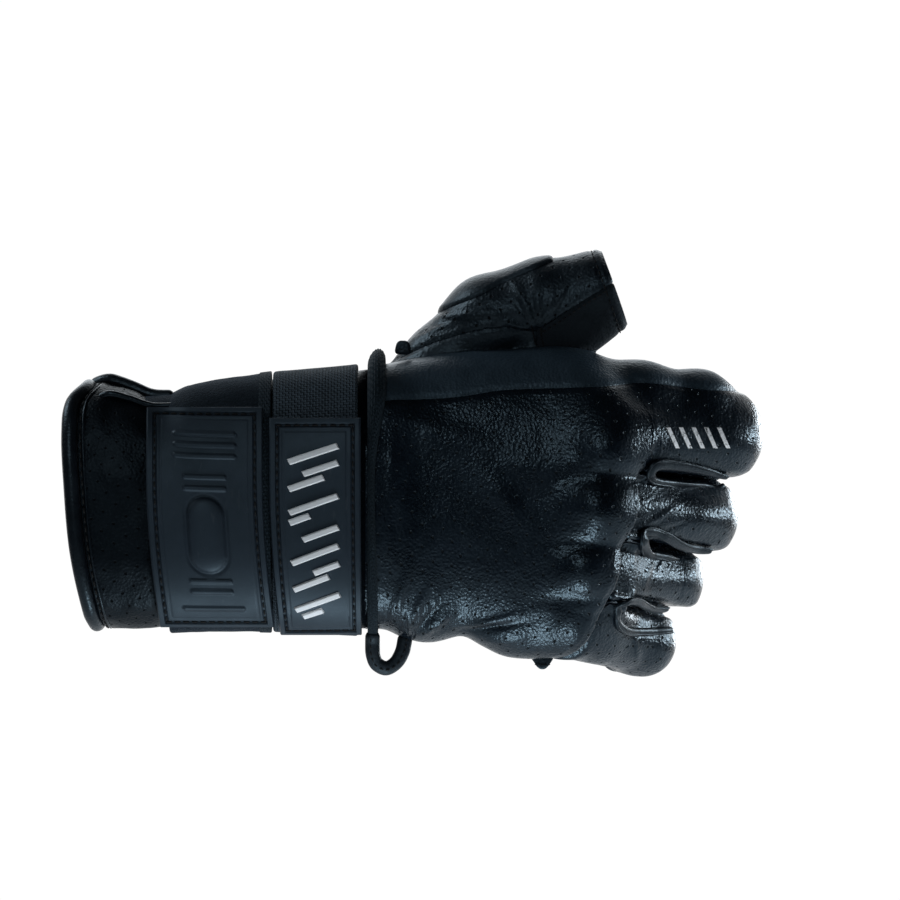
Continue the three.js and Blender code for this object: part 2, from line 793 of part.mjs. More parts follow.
function plate({ left, right, slipLeft, slipRight, top, bottom }) {
  const above = PLATE.base + PLATE.thick;
  const slip = (z) => (Math.max(0, SLIP.from - z) / SLIP.over) ** 2;
  const xAt = (share) => (z) =>
    (left + slipLeft * slip(z)) * (1 - share) + (right + slipRight * slip(z)) * share;
  const stationOf = (share, height, stations) =>
    search(...stations, height, (station) => {
      const { point, normal } = cuffSurface(xAt(share), station);
      return point.z + normal.z * above;
    });

  // How far down the plate each of its stations is, measured along its middle
  const samples = 40;
  const first = stationOf(0.5, top, UPPER_STATIONS);
  const last = stationOf(0.5, bottom, LOWER_STATIONS);
  const trail = steps(first, last, samples).map((station) => cuffSurface(xAt(0.5), station).point);
  const lengths = [0];
  for (let i = 1; i <= samples; i++) lengths.push(lengths[i - 1] + trail[i].distanceTo(trail[i - 1]));
  const progress = (share) => {
    const length = share * lengths.at(-1);
    const i = Math.max(1, lengths.findIndex((reached) => reached >= length - 1e-6));
    return (i - 1 + (length - lengths[i - 1]) / (lengths[i] - lengths[i - 1])) / samples;
  };

  const down = plateLines(lengths.at(-1), PLATE_MIDDLES.down);
  const skin = plateLines(right - left, PLATE_MIDDLES.across).map((across) => {
    const start = stationOf(across.share, top, UPPER_STATIONS);
    const end = stationOf(across.share, bottom, LOWER_STATIONS);
    return down.map((along) => ({
      ...cuffSurface(xAt(across.share), start + (end - start) * progress(along.share)),
      kinds: [across.kind, along.kind],
    }));
  });
  return wall(skin, PLATE.base, ({ kinds }) => {
    const sunk = !kinds.includes("border") && kinds.includes("channel");
    return above - (sunk ? PLATE.relief : 0);
  });
}

// The ribbed tape round the wrist, arched and widest at the thumb side
const TAPE_LEFT = 92.4;
const TAPE_CLEAR = 0.9;
const TAPE_THICK = 0.8;
const TAPE = table(
  ["z", "right", "rise"],
  [
    [-42, 95.6, 0.4],
    [-24, 95.6, 1.0],
    [-11, 95.0, 1.4],
    [11, 94.8, 1.4],
    [25, 96.6, 2.0],
    [33, 98.0, 3.0],
    [44, 98.0, 4.0],
  ],
);

function wristTape() {
  const skin = steps(0, 1, 3).map((share) =>
    cuffRing((z) => TAPE_LEFT + (smooth(TAPE, "z", "right", z) - TAPE_LEFT) * share).map((s) => ({
      ...s,
      arch: Math.sin(Math.PI * share),
    })),
  );
  const high = (s) => TAPE_CLEAR + TAPE_THICK + smooth(TAPE, "z", "rise", s.point.z) * s.arch;
  return wall(skin, TAPE_CLEAR, high, true);
}

// The pull loop hangs below the wrist tape
const PULL_LOOP = [
  [93.9, -6, -43.0],
  [94.1, -6, -46.9],
  [95.3, -5.5, -49.6],
  [98.2, -5, -50.9],
  [101.2, -4, -49.2],
  [103.1, -3, -46.0],
  [103.8, -2, -43.2],
];

function pullLoop() {
  return tube(
    PULL_LOOP.map((p) => new THREE.Vector3(...p)),
    PULL_CORD,
    8,
    20,
  );
}

// Small tabs of leather with rounded corners, standing in the plane of the back view
const TABS = {
  thumb_tab: { width: 4.4, height: 3.4, at: [102.9, -1, 49.8] },
  edge_tab: { width: 7.2, height: 3.2, at: [146.6, 2, -49.7] },
};
const TAB_THICK = 1.6;
const TAB_CORNER = 1.15;

function tab({ width, height, at: place }) {
  const corner = TAB_CORNER;
  const [x, z] = [width / 2, height / 2];
  const shape = new THREE.Shape();
  shape.absarc(x - corner, z - corner, corner, 0, Math.PI / 2);
  shape.absarc(corner - x, z - corner, corner, Math.PI / 2, Math.PI);
  shape.absarc(corner - x, corner - z, corner, Math.PI, 1.5 * Math.PI);
  shape.absarc(x - corner, corner - z, corner, 1.5 * Math.PI, 2 * Math.PI);
  const options = { depth: TAB_THICK, bevelEnabled: false, curveSegments: 2 };
  const flat = new THREE.ExtrudeGeometry(shape, options).translate(0, 0, -TAB_THICK / 2);
  return flat.rotateX(Math.PI / 2).translate(...place);
}

const group = new THREE.Group();

function add(name, geometry, { color, roughness }) {
  geometry.computeVertexNormals();
  const mesh = new THREE.Mesh(geometry, new THREE.MeshStandardMaterial({ color, roughness, metalness: 0 }));
  mesh.name = name;
  group.add(mesh);
}

const PERFORATED = { color: 0x14171c, roughness: 0.42 };
const SMOOTH = { color: 0x17191b, roughness: 0.5 };
const SUEDE = { color: 0x131416, roughness: 0.8 };
const CUFF_LEATHER = { color: 0x101216, roughness: 0.6 };
const PIPED = { color: 0x1b1d20, roughness: 0.35 };
const VELOUR = { color: 0x0f1015, roughness: 0.95 };
const WEBBING = { color: 0x1a1d1f, roughness: 0.9 };
const MOULDED = { color: 0x1e2126, roughness: 0.5 };

// The hand, open where the thumb joins it
const backSkin = handSkin(
  (plane) => sideSeam(plane) + SEAM_GAP,
  () => LITTLE_SEAM - SEAM_GAP,
  BACK_COLUMNS,
);
const sideSkin = handSkin(() => PALM_SEAM - 4, sideSeam, SIDE_COLUMNS);
const palmSkin = handSkin(
  () => LITTLE_SEAM,
  () => PALM_SEAM - SEAM_GAP,
  PALM_COLUMNS,
);
const thumbHole = thumbCore(-LEATHER);
add("back_panel", cut(wall(backSkin, -LEATHER, 0), thumbHole), PERFORATED);
add("side_panel", cut(wall(sideSkin, -LEATHER, 0), thumbHole), SMOOTH);
add("palm_panel", cut(wall(palmSkin, -LEATHER, 0), thumbHole), SUEDE);

// The thumb, cut where it meets the hand
const handSolid = handCore([sideSkin, backSkin, palmSkin], GAP);
const places = steps(0, 1, THUMB_RINGS);
const seamAt = (u) => thumbAngle(u, THUMB_SEAM);
const belowSeam = (u) => seamAt(u) - THUMB_SEAM_GAP;
const palmSeam = () => THUMB_PALM_SEAM;
const topEnd = () => THUMB_PALM_SEAM + 360 - THUMB_SEAM_GAP;
const thumbTop = thumbSkin(seamAt, topEnd, places, THUMB_TOP_COLUMNS);
const rootPlaces = [...places.filter((u) => u < THUMB_SPLIT), THUMB_SPLIT];
const thumbRoot = thumbSkin(palmSeam, belowSeam, rootPlaces, THUMB_BASE_COLUMNS);
const pastSplit = THUMB_SPLIT + THUMB_SPLIT_GAP;
const endPlaces = [pastSplit, ...places.filter((u) => u > pastSplit)];
const thumbUnderside = thumbSkin(palmSeam, belowSeam, endPlaces, THUMB_BASE_COLUMNS);
add("thumb_top", cut(wall(thumbTop, -LEATHER, 0), handSolid), PERFORATED);
add("thumb_root", cut(wall(thumbRoot, -LEATHER, 0), handSolid), SMOOTH);
add("thumb_underside", cut(wall(thumbUnderside, -LEATHER, 0), handSolid), SUEDE);
const guardFrom = (u) => thumbAngle(u, GUARD_EDGE);
const guardPlaces = places.slice(GUARD.first, GUARD.last + 1);
const guard = thumbSkin(guardFrom, (u) => 180 - guardFrom(u), guardPlaces, GUARD_COLUMNS);
add("thumb_guard", wall(guard, GUARD.clear, GUARD.clear + OVERLAY), SMOOTH);

// The finger sleeves and the piping between them
for (const name of FINGERS) add(name + "_sleeve", fingerSleeve(name), PERFORATED);
for (const [name, rows] of Object.entries(SLITS)) add(name, slitPiping(rows), PIPED);

add("cuff", cuff(), CUFF_LEATHER);
add("cuff_binding", rimBinding(6), PIPED);
for (const [name, sizes] of Object.entries(OPENING_ROLLS)) add(name, openingRoll(sizes), PIPED);
add("wide_strap", cuffBand(STRAPS.wide_strap), VELOUR);
add("elastic_strap", cuffBand(STRAPS.elastic_strap), WEBBING);
for (const [name, sizes] of Object.entries(PLATES)) add(name, plate(sizes), MOULDED);
add("wrist_tape", wristTape(), WEBBING);
add("pull_loop", pullLoop(), PIPED);
for (const [name, sizes] of Object.entries(TABS)) add(name, tab(sizes), SMOOTH);

export default group;
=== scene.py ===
"""The looks of a half-finger longboard slide glove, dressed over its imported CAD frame.

Tables and shapes are in millimetres in the frame: X along the arm towards the fingers, Z towards the thumb
and Y from the back of the hand to the palm. Meshes are scaled to metres as they are made.
"""

import math

import bpy
import numpy as np
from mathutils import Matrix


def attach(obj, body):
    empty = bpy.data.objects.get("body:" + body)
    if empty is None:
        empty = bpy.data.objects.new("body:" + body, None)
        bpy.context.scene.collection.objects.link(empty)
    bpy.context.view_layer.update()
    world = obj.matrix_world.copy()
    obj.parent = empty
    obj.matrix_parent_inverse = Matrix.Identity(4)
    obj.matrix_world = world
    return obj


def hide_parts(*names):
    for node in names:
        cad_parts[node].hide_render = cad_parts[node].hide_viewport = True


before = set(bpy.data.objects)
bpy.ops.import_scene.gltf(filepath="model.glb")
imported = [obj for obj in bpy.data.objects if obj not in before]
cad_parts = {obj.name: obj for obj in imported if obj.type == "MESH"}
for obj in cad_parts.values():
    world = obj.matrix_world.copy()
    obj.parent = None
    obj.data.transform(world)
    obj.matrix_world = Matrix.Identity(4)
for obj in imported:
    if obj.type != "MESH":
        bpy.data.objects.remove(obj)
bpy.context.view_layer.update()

MM = 0.001


def table(names, rows):
    """A table with named columns."""
    return dict(zip(names.split(), np.array(rows, float).T))


def row_point(rows, i):
    """The point in one row of a table."""
    return np.array([rows[c][i] for c in "xyz"])


def unit(vectors):
    return vectors / np.linalg.norm(vectors, axis=-1, keepdims=True)


def bell(distance, wide):
    """1 where distance is 0, fading away over wide."""
    return np.exp(-((distance / wide) ** 2))


# The form: sections along the wrist and hand, and the digits as chains of round cones
SECTIONS = table("x top bottom back palm square", [
    (-6.0, 36.6, -35.0, 25.5, 25.5, 2.9),
    (0.0, 37.6, -36.6, 25.5, 25.5, 2.9),
    (8.8, 38.2, -38.4, 26.0, 26.0, 2.9),
    (13.0, 37.0, -38.3, 26.0, 26.0, 2.9),
    (20.0, 35.2, -38.1, 26.0, 26.0, 2.9),
    (29.0, 32.2, -37.8, 26.0, 26.0, 2.9),
    (37.0, 35.1, -37.4, 26.0, 26.0, 2.9),
    (60.3, 39.0, -37.2, 26.0, 26.0, 2.9),
    (90.0, 41.8, -38.6, 26.0, 26.0, 2.9),
    (97.8, 44.0, -38.9, 25.0, 27.0, 2.8),
    (103.0, 45.0, -41.2, 23.8, 27.5, 2.7),
    (108.8, 45.9, -42.4, 22.5, 28.0, 2.6),
    (121.3, 47.5, -42.0, 21.5, 28.0, 2.5),
    (133.8, 48.2, -44.4, 21.0, 26.0, 2.45),
    (146.3, 48.4, -46.6, 20.5, 24.0, 2.4),
    (157.2, 47.2, -45.9, 21.0, 21.0, 2.4),
    (165.0, 43.7, -43.8, 21.0, 19.0, 2.4),
    (172.8, 36.5, -40.9, 19.0, 18.0, 2.4),
    (180.6, 26.6, -32.8, 14.0, 17.0, 2.4),
])
FINGERS = ("index", "middle", "ring", "little")
DIGITS = {
    "index": [(168.8, -7, 20.3, 13.0), (203.8, 19, 20.9, 11.6), (197.8, 34, 22.2, 10.8)],
    "middle": [(166.3, -9, -0.9, 12.0), (195.9, 26, -4.1, 10.6), (187.5, 37, -3.4, 10.0)],
    "ring": [(161.9, -7, -20.9, 11.0), (185.6, 29, -24.4, 9.4), (176.3, 38, -24.4, 9.0)],
    "little": [(156.9, -1, -35.9, 10.5), (177.5, 27, -42.5, 8.8), (169.4, 35.5, -42.5, 8.4)],
}
DIGITS = {name: table("x y z radius", rows) for name, rows in DIGITS.items()}
SIDE_FOLD = table("x y z radius", [
    (152.5, 6, 36.6, 11.0),
    (177.5, 6, 34.0, 10.0),
    (196.3, 14, 31.6, 9.5),
    (204.6, 20, 27.8, 8.5),
])
THUMB = table("x y z radius", [
    (106.0, 12, 38.0, 9.2),
    (116.5, 12, 45.5, 10.6),
    (130.8, 11, 57.4, 12.2),
    (147.8, 9, 63.4, 11.6),
    (165.0, 8, 66.8, 11.0),
    (177.5, 8, 70.4, 10.6),
])
THUMB_WEB = table("x y z radius", [(176, 8, 69.5, 8.2), (160, 8, 58, 8.2), (147, 8, 48, 9)])
THUMB_END = {"at": np.array((169.8, 8.0, 68.0)), "normal": unit(np.array((0.942, 0.0, 0.336)))}
KNUCKLE_END = {"x": 176.0, "slant": 0.16}
PARTINGS = table("root bend", [(10.2, 7.9), (-10.6, -14.9), (-30.0, -33.7)])
PARTING = {"root": 160.0, "length": 55.0, "least": -0.3, "most": 1.2}
FINGER_PRESS = 0.4
END_REACH = 17.0
BLEND = {"root": 9.0, "joint": 4.0, "side": 6.0, "between": 0.8, "thumb": 8.0, "knuckle": 16.0, "wrist": 2.5}
EDGE_ROUND = 2.6

# Lines on the back view, and the planes across the hand that the palm's seams are measured in
SIDE_SEAM = table("x z", [
    (90, 32.5), (98, 32.8), (120, 33.8), (134, 35.9), (165, 37.2), (178, 38.4), (200, 36),
])
THUMB_SEAM = table("x z", [
    (98.8, 44.7), (115, 51.6), (133.8, 55.6), (144.7, 54.4), (157.2, 62.2), (168.8, 69.4), (176, 73),
])
GUARD_EDGE = table("x z", [(104, 55.4), (108, 57), (114, 60), (124.4, 64), (133.8, 68.8), (149.4, 75.9)])
THUMB_SPLIT_X = 145.3
HAND_PLANES = table("at slant_z slant_y middle", [
    (93.6, 0, 0, 0),
    (106, 0, -0.03, 1),
    (122, 0.01, -0.15, 2),
    (138, 0.07, -0.38, 1),
    (150, 0.14, -0.64, 1),
    (159, 0.21, -0.88, 3),
    (163, 0.24, -1.0, 4),
])
TRACK_INSET = 21.0
PALM_SLOPES = {"thumb": 0.257, "little": 0.396}
ROOT = {"at": 163.0, "slant": 0.24}


def smooth(rows, key, name, value):
    """A smooth curve through a table's rows, flat past its ends."""
    x, y = rows[key], rows[name]
    value = np.clip(value, x[0], x[-1])
    last = len(x) - 1
    i = np.clip(np.searchsorted(x, value, side="right") - 1, 0, last - 1)
    before, after = np.maximum(np.arange(last + 1) - 1, 0), np.minimum(np.arange(last + 1) + 1, last)
    slope = (y[after] - y[before]) / (x[after] - x[before])
    span = x[i + 1] - x[i]
    t = (value - x[i]) / span
    rise = t * t * (3 - 2 * t)
    ends = (1 - rise) * y[i] + rise * y[i + 1]
    return ends + span * t * (1 - t) * ((1 - t) * slope[i] - t * slope[i + 1])


def soft_min(a, b, k):
    h = np.maximum(k - np.abs(a - b), 0) / k
    return np.minimum(a, b) - h * h * k / 4


def soft_max(a, b, k):
    return -soft_min(-a, -b, k)


def step_between(low, high, value):
    t = np.clip((value - low) / (high - low), 0, 1)
    return t * t * (3 - 2 * t)


# Distance fields: negative inside the form, positive outside
def round_cone(p, rows, i):
    a = row_point(rows, i)
    axis = row_point(rows, i + 1) - a
    from_a = p - a
    length2 = axis @ axis
    taper = rows["radius"][i] - rows["radius"][i + 1]
    side2 = length2 - taper * taper
    along = from_a @ axis
    past = along - length2
    across = from_a * length2 - along[:, None] * axis
    across2 = np.einsum("ij,ij->i", across, across)
    k = np.sign(taper) * taper * taper * across2
    far = np.sqrt(across2 + past * past * length2) / length2 - rows["radius"][i + 1]
    near = np.sqrt(across2 + along * along * length2) / length2 - rows["radius"][i]
    side = (np.sqrt(across2 * side2 / length2) + along * taper) / length2 - rows["radius"][i]
    at_end = np.sign(past) * side2 * past * past * length2 > k
    at_start = np.sign(along) * side2 * along * along * length2 < k
    return np.where(at_end, far, np.where(at_start, near, side))


def chain(p, rows, blend):
    d = round_cone(p, rows, 0)
    for i in range(1, len(rows["x"]) - 1):
        d = soft_min(d, round_cone(p, rows, i), blend)
    return d


def section_at(x):
    return {name: smooth(SECTIONS, "x", name, x) for name in SECTIONS if name != "x"}


def sleeve_field(p):
    s = section_at(p[:, 0])
    z = p[:, 2] - (s["top"] + s["bottom"]) / 2
    height = (s["top"] - s["bottom"]) / 2
    depth = np.where(p[:, 1] < 0, s["back"], s["palm"])
    q = ((np.abs(p[:, 1]) / depth) ** s["square"] + (np.abs(z) / height) ** s["square"]) ** (1 / s["square"])
    reach = np.hypot(p[:, 1], z)
    return np.where(q < 0.2, -np.minimum(depth, height) * (1 - q), reach * (1 - 1 / np.maximum(q, 0.1)))


def hand_field(p):
    past = p[:, 0] - (KNUCKLE_END["x"] + KNUCKLE_END["slant"] * p[:, 2])
    palm = soft_max(sleeve_field(p), past, BLEND["knuckle"])
    fingers = None
    for name in FINGERS:
        finger = chain(p, DIGITS[name], BLEND["joint"])
        if name == "index":
            finger = soft_min(finger, chain(p, SIDE_FOLD, BLEND["side"]), BLEND["side"])
        fingers = finger if fingers is None else soft_min(fingers, finger, BLEND["between"])
    return soft_min(palm, fingers, BLEND["root"])


def thumb_field(p):
    return soft_min(chain(p, THUMB, BLEND["thumb"]), chain(p, THUMB_WEB, BLEND["thumb"]), BLEND["joint"])


def whole_field(p):
    return soft_min(hand_field(p), thumb_field(p), BLEND["wrist"])


def root_distance(p):
    """How far past the plane of the finger roots a point is."""
    slants = math.sqrt(2 + ROOT["slant"] ** 2)
    return (p[:, 0] + p[:, 1] - ROOT["slant"] * p[:, 2] - ROOT["at"]) / slants


# The slits: half their opening, how far past the finger roots they start, and how deep they go
SLIT_OPENING = table("half start", [(1.5, 3.4), (1.6, 8.6), (2.4, 7.2)])
SLIT_FADE = {"start": 2.4, "deep": 0.5, "shallow": 3.5}
PRESSED = {"swell": 2.3, "wide": 4.2, "from": -1.0, "to": 7.0, "near": 4.0, "far": 10.0, "kept": 0.45}


def towards_backs(p, i):
    """How far a point is on the back's side of the i-th slit's two fingers."""
    upper, lower = (np.stack([DIGITS[name]["x"], DIGITS[name]["y"]], 1) for name in FINGERS[i : i + 2])
    root, bend, end = (upper + lower) / 2
    sides = []
    for along in (bend - root, end - bend):
        x, y = unit(along)
        sides.append((p[:, :2] - bend) @ np.array((y, -x)))
    return np.maximum(*sides)


def slit_opening(p, i):
    start = SLIT_OPENING["start"][i]
    begun = step_between(start, start + SLIT_FADE["start"], root_distance(p))
    near_backs = step_between(SLIT_FADE["deep"], SLIT_FADE["shallow"], towards_backs(p, i))
    return SLIT_OPENING["half"][i] * begun * near_backs


def pressed(p):
    """How much the fingers swell where they press together, most below their backs."""
    total = np.zeros(len(p))
    for i in range(len(PARTINGS["root"])):
        backs = step_between(PRESSED["near"], PRESSED["far"], towards_backs(p, i))
        near = bell(above_parting(p, i), PRESSED["wide"])
        total = np.maximum(total, near * (1 - (1 - PRESSED["kept"]) * backs))
    return PRESSED["swell"] * total * step_between(PRESSED["from"], PRESSED["to"], root_distance(p))


def pressed_field(p):
    return whole_field(p) - pressed(p)


def above_parting(p, i):
    """How far a point is above the i-th slit's middle."""
    along = (p[:, 0] + p[:, 1] - PARTING["root"]) / PARTING["length"]
    along = np.clip(along, PARTING["least"], PARTING["most"])
    return p[:, 2] - (PARTINGS["root"][i] + (PARTINGS["bend"][i] - PARTINGS["root"][i]) * along)


def outside_share(p, name, opened=False):
    """How far a point is outside one finger's share of the hand, which the slits' openings narrow."""
    i = FINGERS.index(name)
    sides = []
    for parting, side in ((i - 1, 1), (i, -1)):
        if 0 <= parting < len(PARTINGS["root"]):
            opening = slit_opening(p, parting) if opened else 0
            sides.append(side * above_parting(p, parting) + opening)
    return np.maximum.reduce(sides) - FINGER_PRESS


def past_finger_end(p, name):
    """How far past the plane of a finger sleeve's end a point is, where it is near that end."""
    bend, end = (row_point(DIGITS[name], i) for i in (1, 2))
    return np.minimum((p - end) @ unit(end - bend), END_REACH - np.linalg.norm(p - end, axis=1))


def past_thumb_end(p):
    return (p - THUMB_END["at"]) @ THUMB_END["normal"]


def palm_side(p):
    """How far a point is on the palm's side of the two seams along the palm's edges."""
    low = np.full(len(p), HAND_PLANES["at"][0])
    high = np.full(len(p), HAND_PLANES["at"][-1])
    for _ in range(14):
        at = (low + high) / 2
        slant_z, slant_y = (smooth(HAND_PLANES, "at", name, at) for name in ("slant_z", "slant_y"))
        short = at + slant_z * p[:, 2] + slant_y * p[:, 1] < p[:, 0]
        low, high = np.where(short, at, low), np.where(short, high, at)
    middle = smooth(HAND_PLANES, "at", "middle", at)
    over = p[:, 2] - (smooth(SECTIONS, "x", "top", at) - TRACK_INSET)
    under = (smooth(SECTIONS, "x", "bottom", at) + TRACK_INSET) - p[:, 2]
    return p[:, 1] - middle - np.maximum(PALM_SLOPES["thumb"] * over, PALM_SLOPES["little"] * under)


LATTICE = np.random.default_rng(7).uniform(-1, 1, (32, 32, 32))


def noise(p, size):
    """Smooth seeded noise from -1 to 1 with bumps about size across."""
    q = p / np.asarray(size, float)
    cell = np.floor(q).astype(int)
    t = q - cell
    t = t * t * (3 - 2 * t)
    total = np.zeros(len(p))
    for corner in np.ndindex(2, 2, 2):
        weight = np.prod(np.where(corner, t, 1 - t), axis=1)
        total += weight * LATTICE[tuple(((cell + corner) % 32).T)]
    return total


# Meshes from fields
def halved(quads):
    """Two triangles for each quad."""
    return np.concatenate([quads[:, :3], quads[:, (0, 2, 3)]])


def net(values, low, cell):
    """A mesh of the zero level of a grid of values, with one vertex in each cell that it crosses."""
    cells = np.array(values.shape) - 1
    count = int(cells.prod())
    sums, hits = np.zeros((3, count)), np.zeros(count)
    quads = []
    for axis in range(3):
        first, second = [slice(None)] * 3, [slice(None)] * 3
        first[axis], second[axis] = slice(0, -1), slice(1, None)
        a, b = values[tuple(first)], values[tuple(second)]
        start = np.argwhere((a < 0) != (b < 0))
        u, v = (i for i in range(3) if i != axis)
        inner = (start[:, u] > 0) & (start[:, v] > 0) & (start[:, u] < cells[u]) & (start[:, v] < cells[v])
        start = start[inner]
        value_a, value_b = a[tuple(start.T)], b[tuple(start.T)]
        point = start.astype(float)
        point[:, axis] += value_a / (value_a - value_b)
        around = []
        for du, dv in ((0, 0), (1, 0), (1, 1), (0, 1)):
            corner = start.copy()
            corner[:, u] -= du
            corner[:, v] -= dv
            flat = np.ravel_multi_index(tuple(corner.T), tuple(cells))
            around.append(flat)
            hits += np.bincount(flat, minlength=count)
            for c in range(3):
                sums[c] += np.bincount(flat, weights=point[:, c], minlength=count)
        loops = np.stack(around, 1)
        backwards = (value_a < 0) == (axis == 1)
        loops[backwards] = loops[backwards, ::-1]
        quads.append(loops)
    quads = np.concatenate(quads)
    used, quads = np.unique(quads, return_inverse=True)
    quads = quads.reshape(-1, 4)
    points = (sums[:, used] / hits[used]).T * cell + low
    return points, halved(quads)


def slopes(p, field):
    reach = 0.08
    tips = np.array([(1, -1, -1), (-1, -1, 1), (-1, 1, -1), (1, 1, 1)], float)
    return sum(tip * field(p + tip * reach)[:, None] for tip in tips) / (4 * reach)


def settle(p, field):
    """Points moved onto a field's zero level, and the surface's normals there."""
    for _ in range(2):
        slope = slopes(p, field)
        p = p - slope * (field(p) / np.maximum((slope**2).sum(1), 0.05))[:, None]
    return p, unit(slopes(p, field))


def compact(points, triangles):
    used, index = np.unique(triangles, return_inverse=True)
    return points[used], index.reshape(-1, 3)


def clip(points, triangles, keep):
    """The part of a mesh where keep is positive, cut along keep = 0."""
    inside = keep[triangles] > 0
    count = inside.sum(1)
    one, two = triangles[count == 1], triangles[count == 2]
    one = np.take_along_axis(one, (np.argmax(inside[count == 1], 1)[:, None] + np.arange(3)) % 3, 1)
    two = np.take_along_axis(two, (np.argmin(inside[count == 2], 1)[:, None] + np.arange(3)) % 3, 1)
    edges = np.concatenate([one[:, :2], one[:, ::2], two[:, :2], two[:, ::2]])
    pairs, place = np.unique(np.sort(edges, 1), axis=0, return_inverse=True)
    place = place.reshape(-1) + len(points)
    share = keep[pairs[:, 0]] / (keep[pairs[:, 0]] - keep[pairs[:, 1]])
    cuts = points[pairs[:, 0]] + share[:, None] * (points[pairs[:, 1]] - points[pairs[:, 0]])
    ones, twos = len(one), len(two)
    one_b, one_c = place[:ones], place[ones : 2 * ones]
    two_b, two_c = place[2 * ones : 2 * ones + twos], place[2 * ones + twos :]
    triangles = np.concatenate([
        triangles[count == 3],
        np.stack([one[:, 0], one_b, one_c], 1),
        np.stack([two[:, 1], two[:, 2], two_c], 1),
        np.stack([two[:, 1], two_c, two_b], 1),
    ])
    return compact(np.concatenate([points, cuts]), triangles)


def thickened(points, triangles, inner):
    """A closed shell from a sheet and its inner points."""
    n = len(points)
    edges = np.concatenate([triangles[:, (0, 1)], triangles[:, (1, 2)], triangles[:, (2, 0)]])
    keys = edges[:, 0] * n + edges[:, 1]
    border = edges[~np.isin(keys, edges[:, 1] * n + edges[:, 0])]
    a, b = border.T
    rim = np.concatenate([np.stack([b, a, a + n], 1), np.stack([b, a + n, b + n], 1)])
    return np.concatenate([points, inner]), np.concatenate([triangles, triangles[:, ::-1] + n, rim])


GRID = {"low": (91.0, -32.0, -58.0), "high": (221.0, 54.0, 84.0), "cell": 0.75, "coarse": 6, "near": 8.0}


def grid_points(places, cell):
    return places * cell + np.array(GRID["low"])


def all_places(counts):
    return np.indices(counts).reshape(3, -1).T


def sampled(field):
    """A field's values on the grid: true near its surface, and rough but of the right sign elsewhere."""
    coarse, cell = GRID["coarse"], GRID["cell"]
    counts = np.ceil((np.array(GRID["high"]) - GRID["low"]) / (cell * coarse)).astype(int)
    rough = field(grid_points(all_places(counts), cell * coarse) + cell * coarse / 2).reshape(counts)
    values = rough.repeat(coarse, 0).repeat(coarse, 1).repeat(coarse, 2)
    near = np.argwhere(np.abs(values) < GRID["near"])
    for part in np.array_split(near, 8):
        values[tuple(part.T)] = field(grid_points(part, cell))
    return values


def skin(values, field, keep):
    """A surface from grid values, settled on its field and clipped to where keep is positive."""
    points, triangles = net(values, np.array(GRID["low"]), GRID["cell"])
    rough = keep(points)
    triangles = triangles[(rough[triangles] > -2 * GRID["cell"]).any(1)]
    points, triangles = compact(points, triangles)
    points, _ = settle(points, field)
    points, triangles = clip(points, triangles, keep(points))
    _, normals = settle(points, field)
    return points, triangles, normals


# Blender objects
def add_object(name, shape, material, sharp=None):
    """An object from (points, faces) or (points, faces, uv)."""
    points, faces, *uv = shape
    mesh = bpy.data.meshes.new(name)
    faces = faces if isinstance(faces, list) else faces.tolist()
    mesh.from_pydata((np.asarray(points) * MM).tolist(), [], faces)
    if uv:
        corners = np.zeros(len(mesh.loops), np.int32)
        mesh.loops.foreach_get("vertex_index", corners)
        mesh.uv_layers.new(name="along").data.foreach_set("uv", uv[0][corners].astype(np.float32).ravel())
    mesh.shade_smooth()
    if sharp:
        mesh.set_sharp_from_angle(angle=math.radians(sharp))
    mesh.materials.append(material)
    piece = bpy.data.objects.new(name, mesh)
    bpy.context.scene.collection.objects.link(piece)
    return piece


def add_piece(name, shape, material, slot, *nodes, sharp=None):
    """A piece of the glove, in the place of the nodes that it replaces."""
    piece = add_object(name, shape, material, sharp)
    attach(piece, "root")
    if nodes:
        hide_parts(*nodes)
    return piece


def distances_along(path):
    return np.concatenate([[0], np.cumsum(np.linalg.norm(np.diff(path, axis=0), axis=1))])


def at_distances(wanted, along, rows):
    """Rows at wanted distances along a path, from rows at known ones."""
    return np.stack([np.interp(wanted, along, column) for column in rows.T], 1)


def course(points, count):
    """Points at even steps along a smooth curve through some points."""
    points = np.array(points, float)
    along = distances_along(points)
    fine = np.linspace(0, along[-1], 40 * len(points))
    curve = np.stack([smooth({"s": along, "v": column}, "s", "v", fine) for column in points.T], 1)
    lengths = distances_along(curve[:, :3])
    return at_distances(np.linspace(0, lengths[-1], count), lengths, curve)


def frames(path, outward, looped=False):
    """Tangents, outward directions square to them, and the third directions."""
    tangent = unit(np.roll(path, -1, 0) - np.roll(path, 1, 0) if looped else np.gradient(path, axis=0))
    outward = unit(outward - (outward * tangent).sum(1)[:, None] * tangent)
    return tangent, outward, np.cross(tangent, outward)


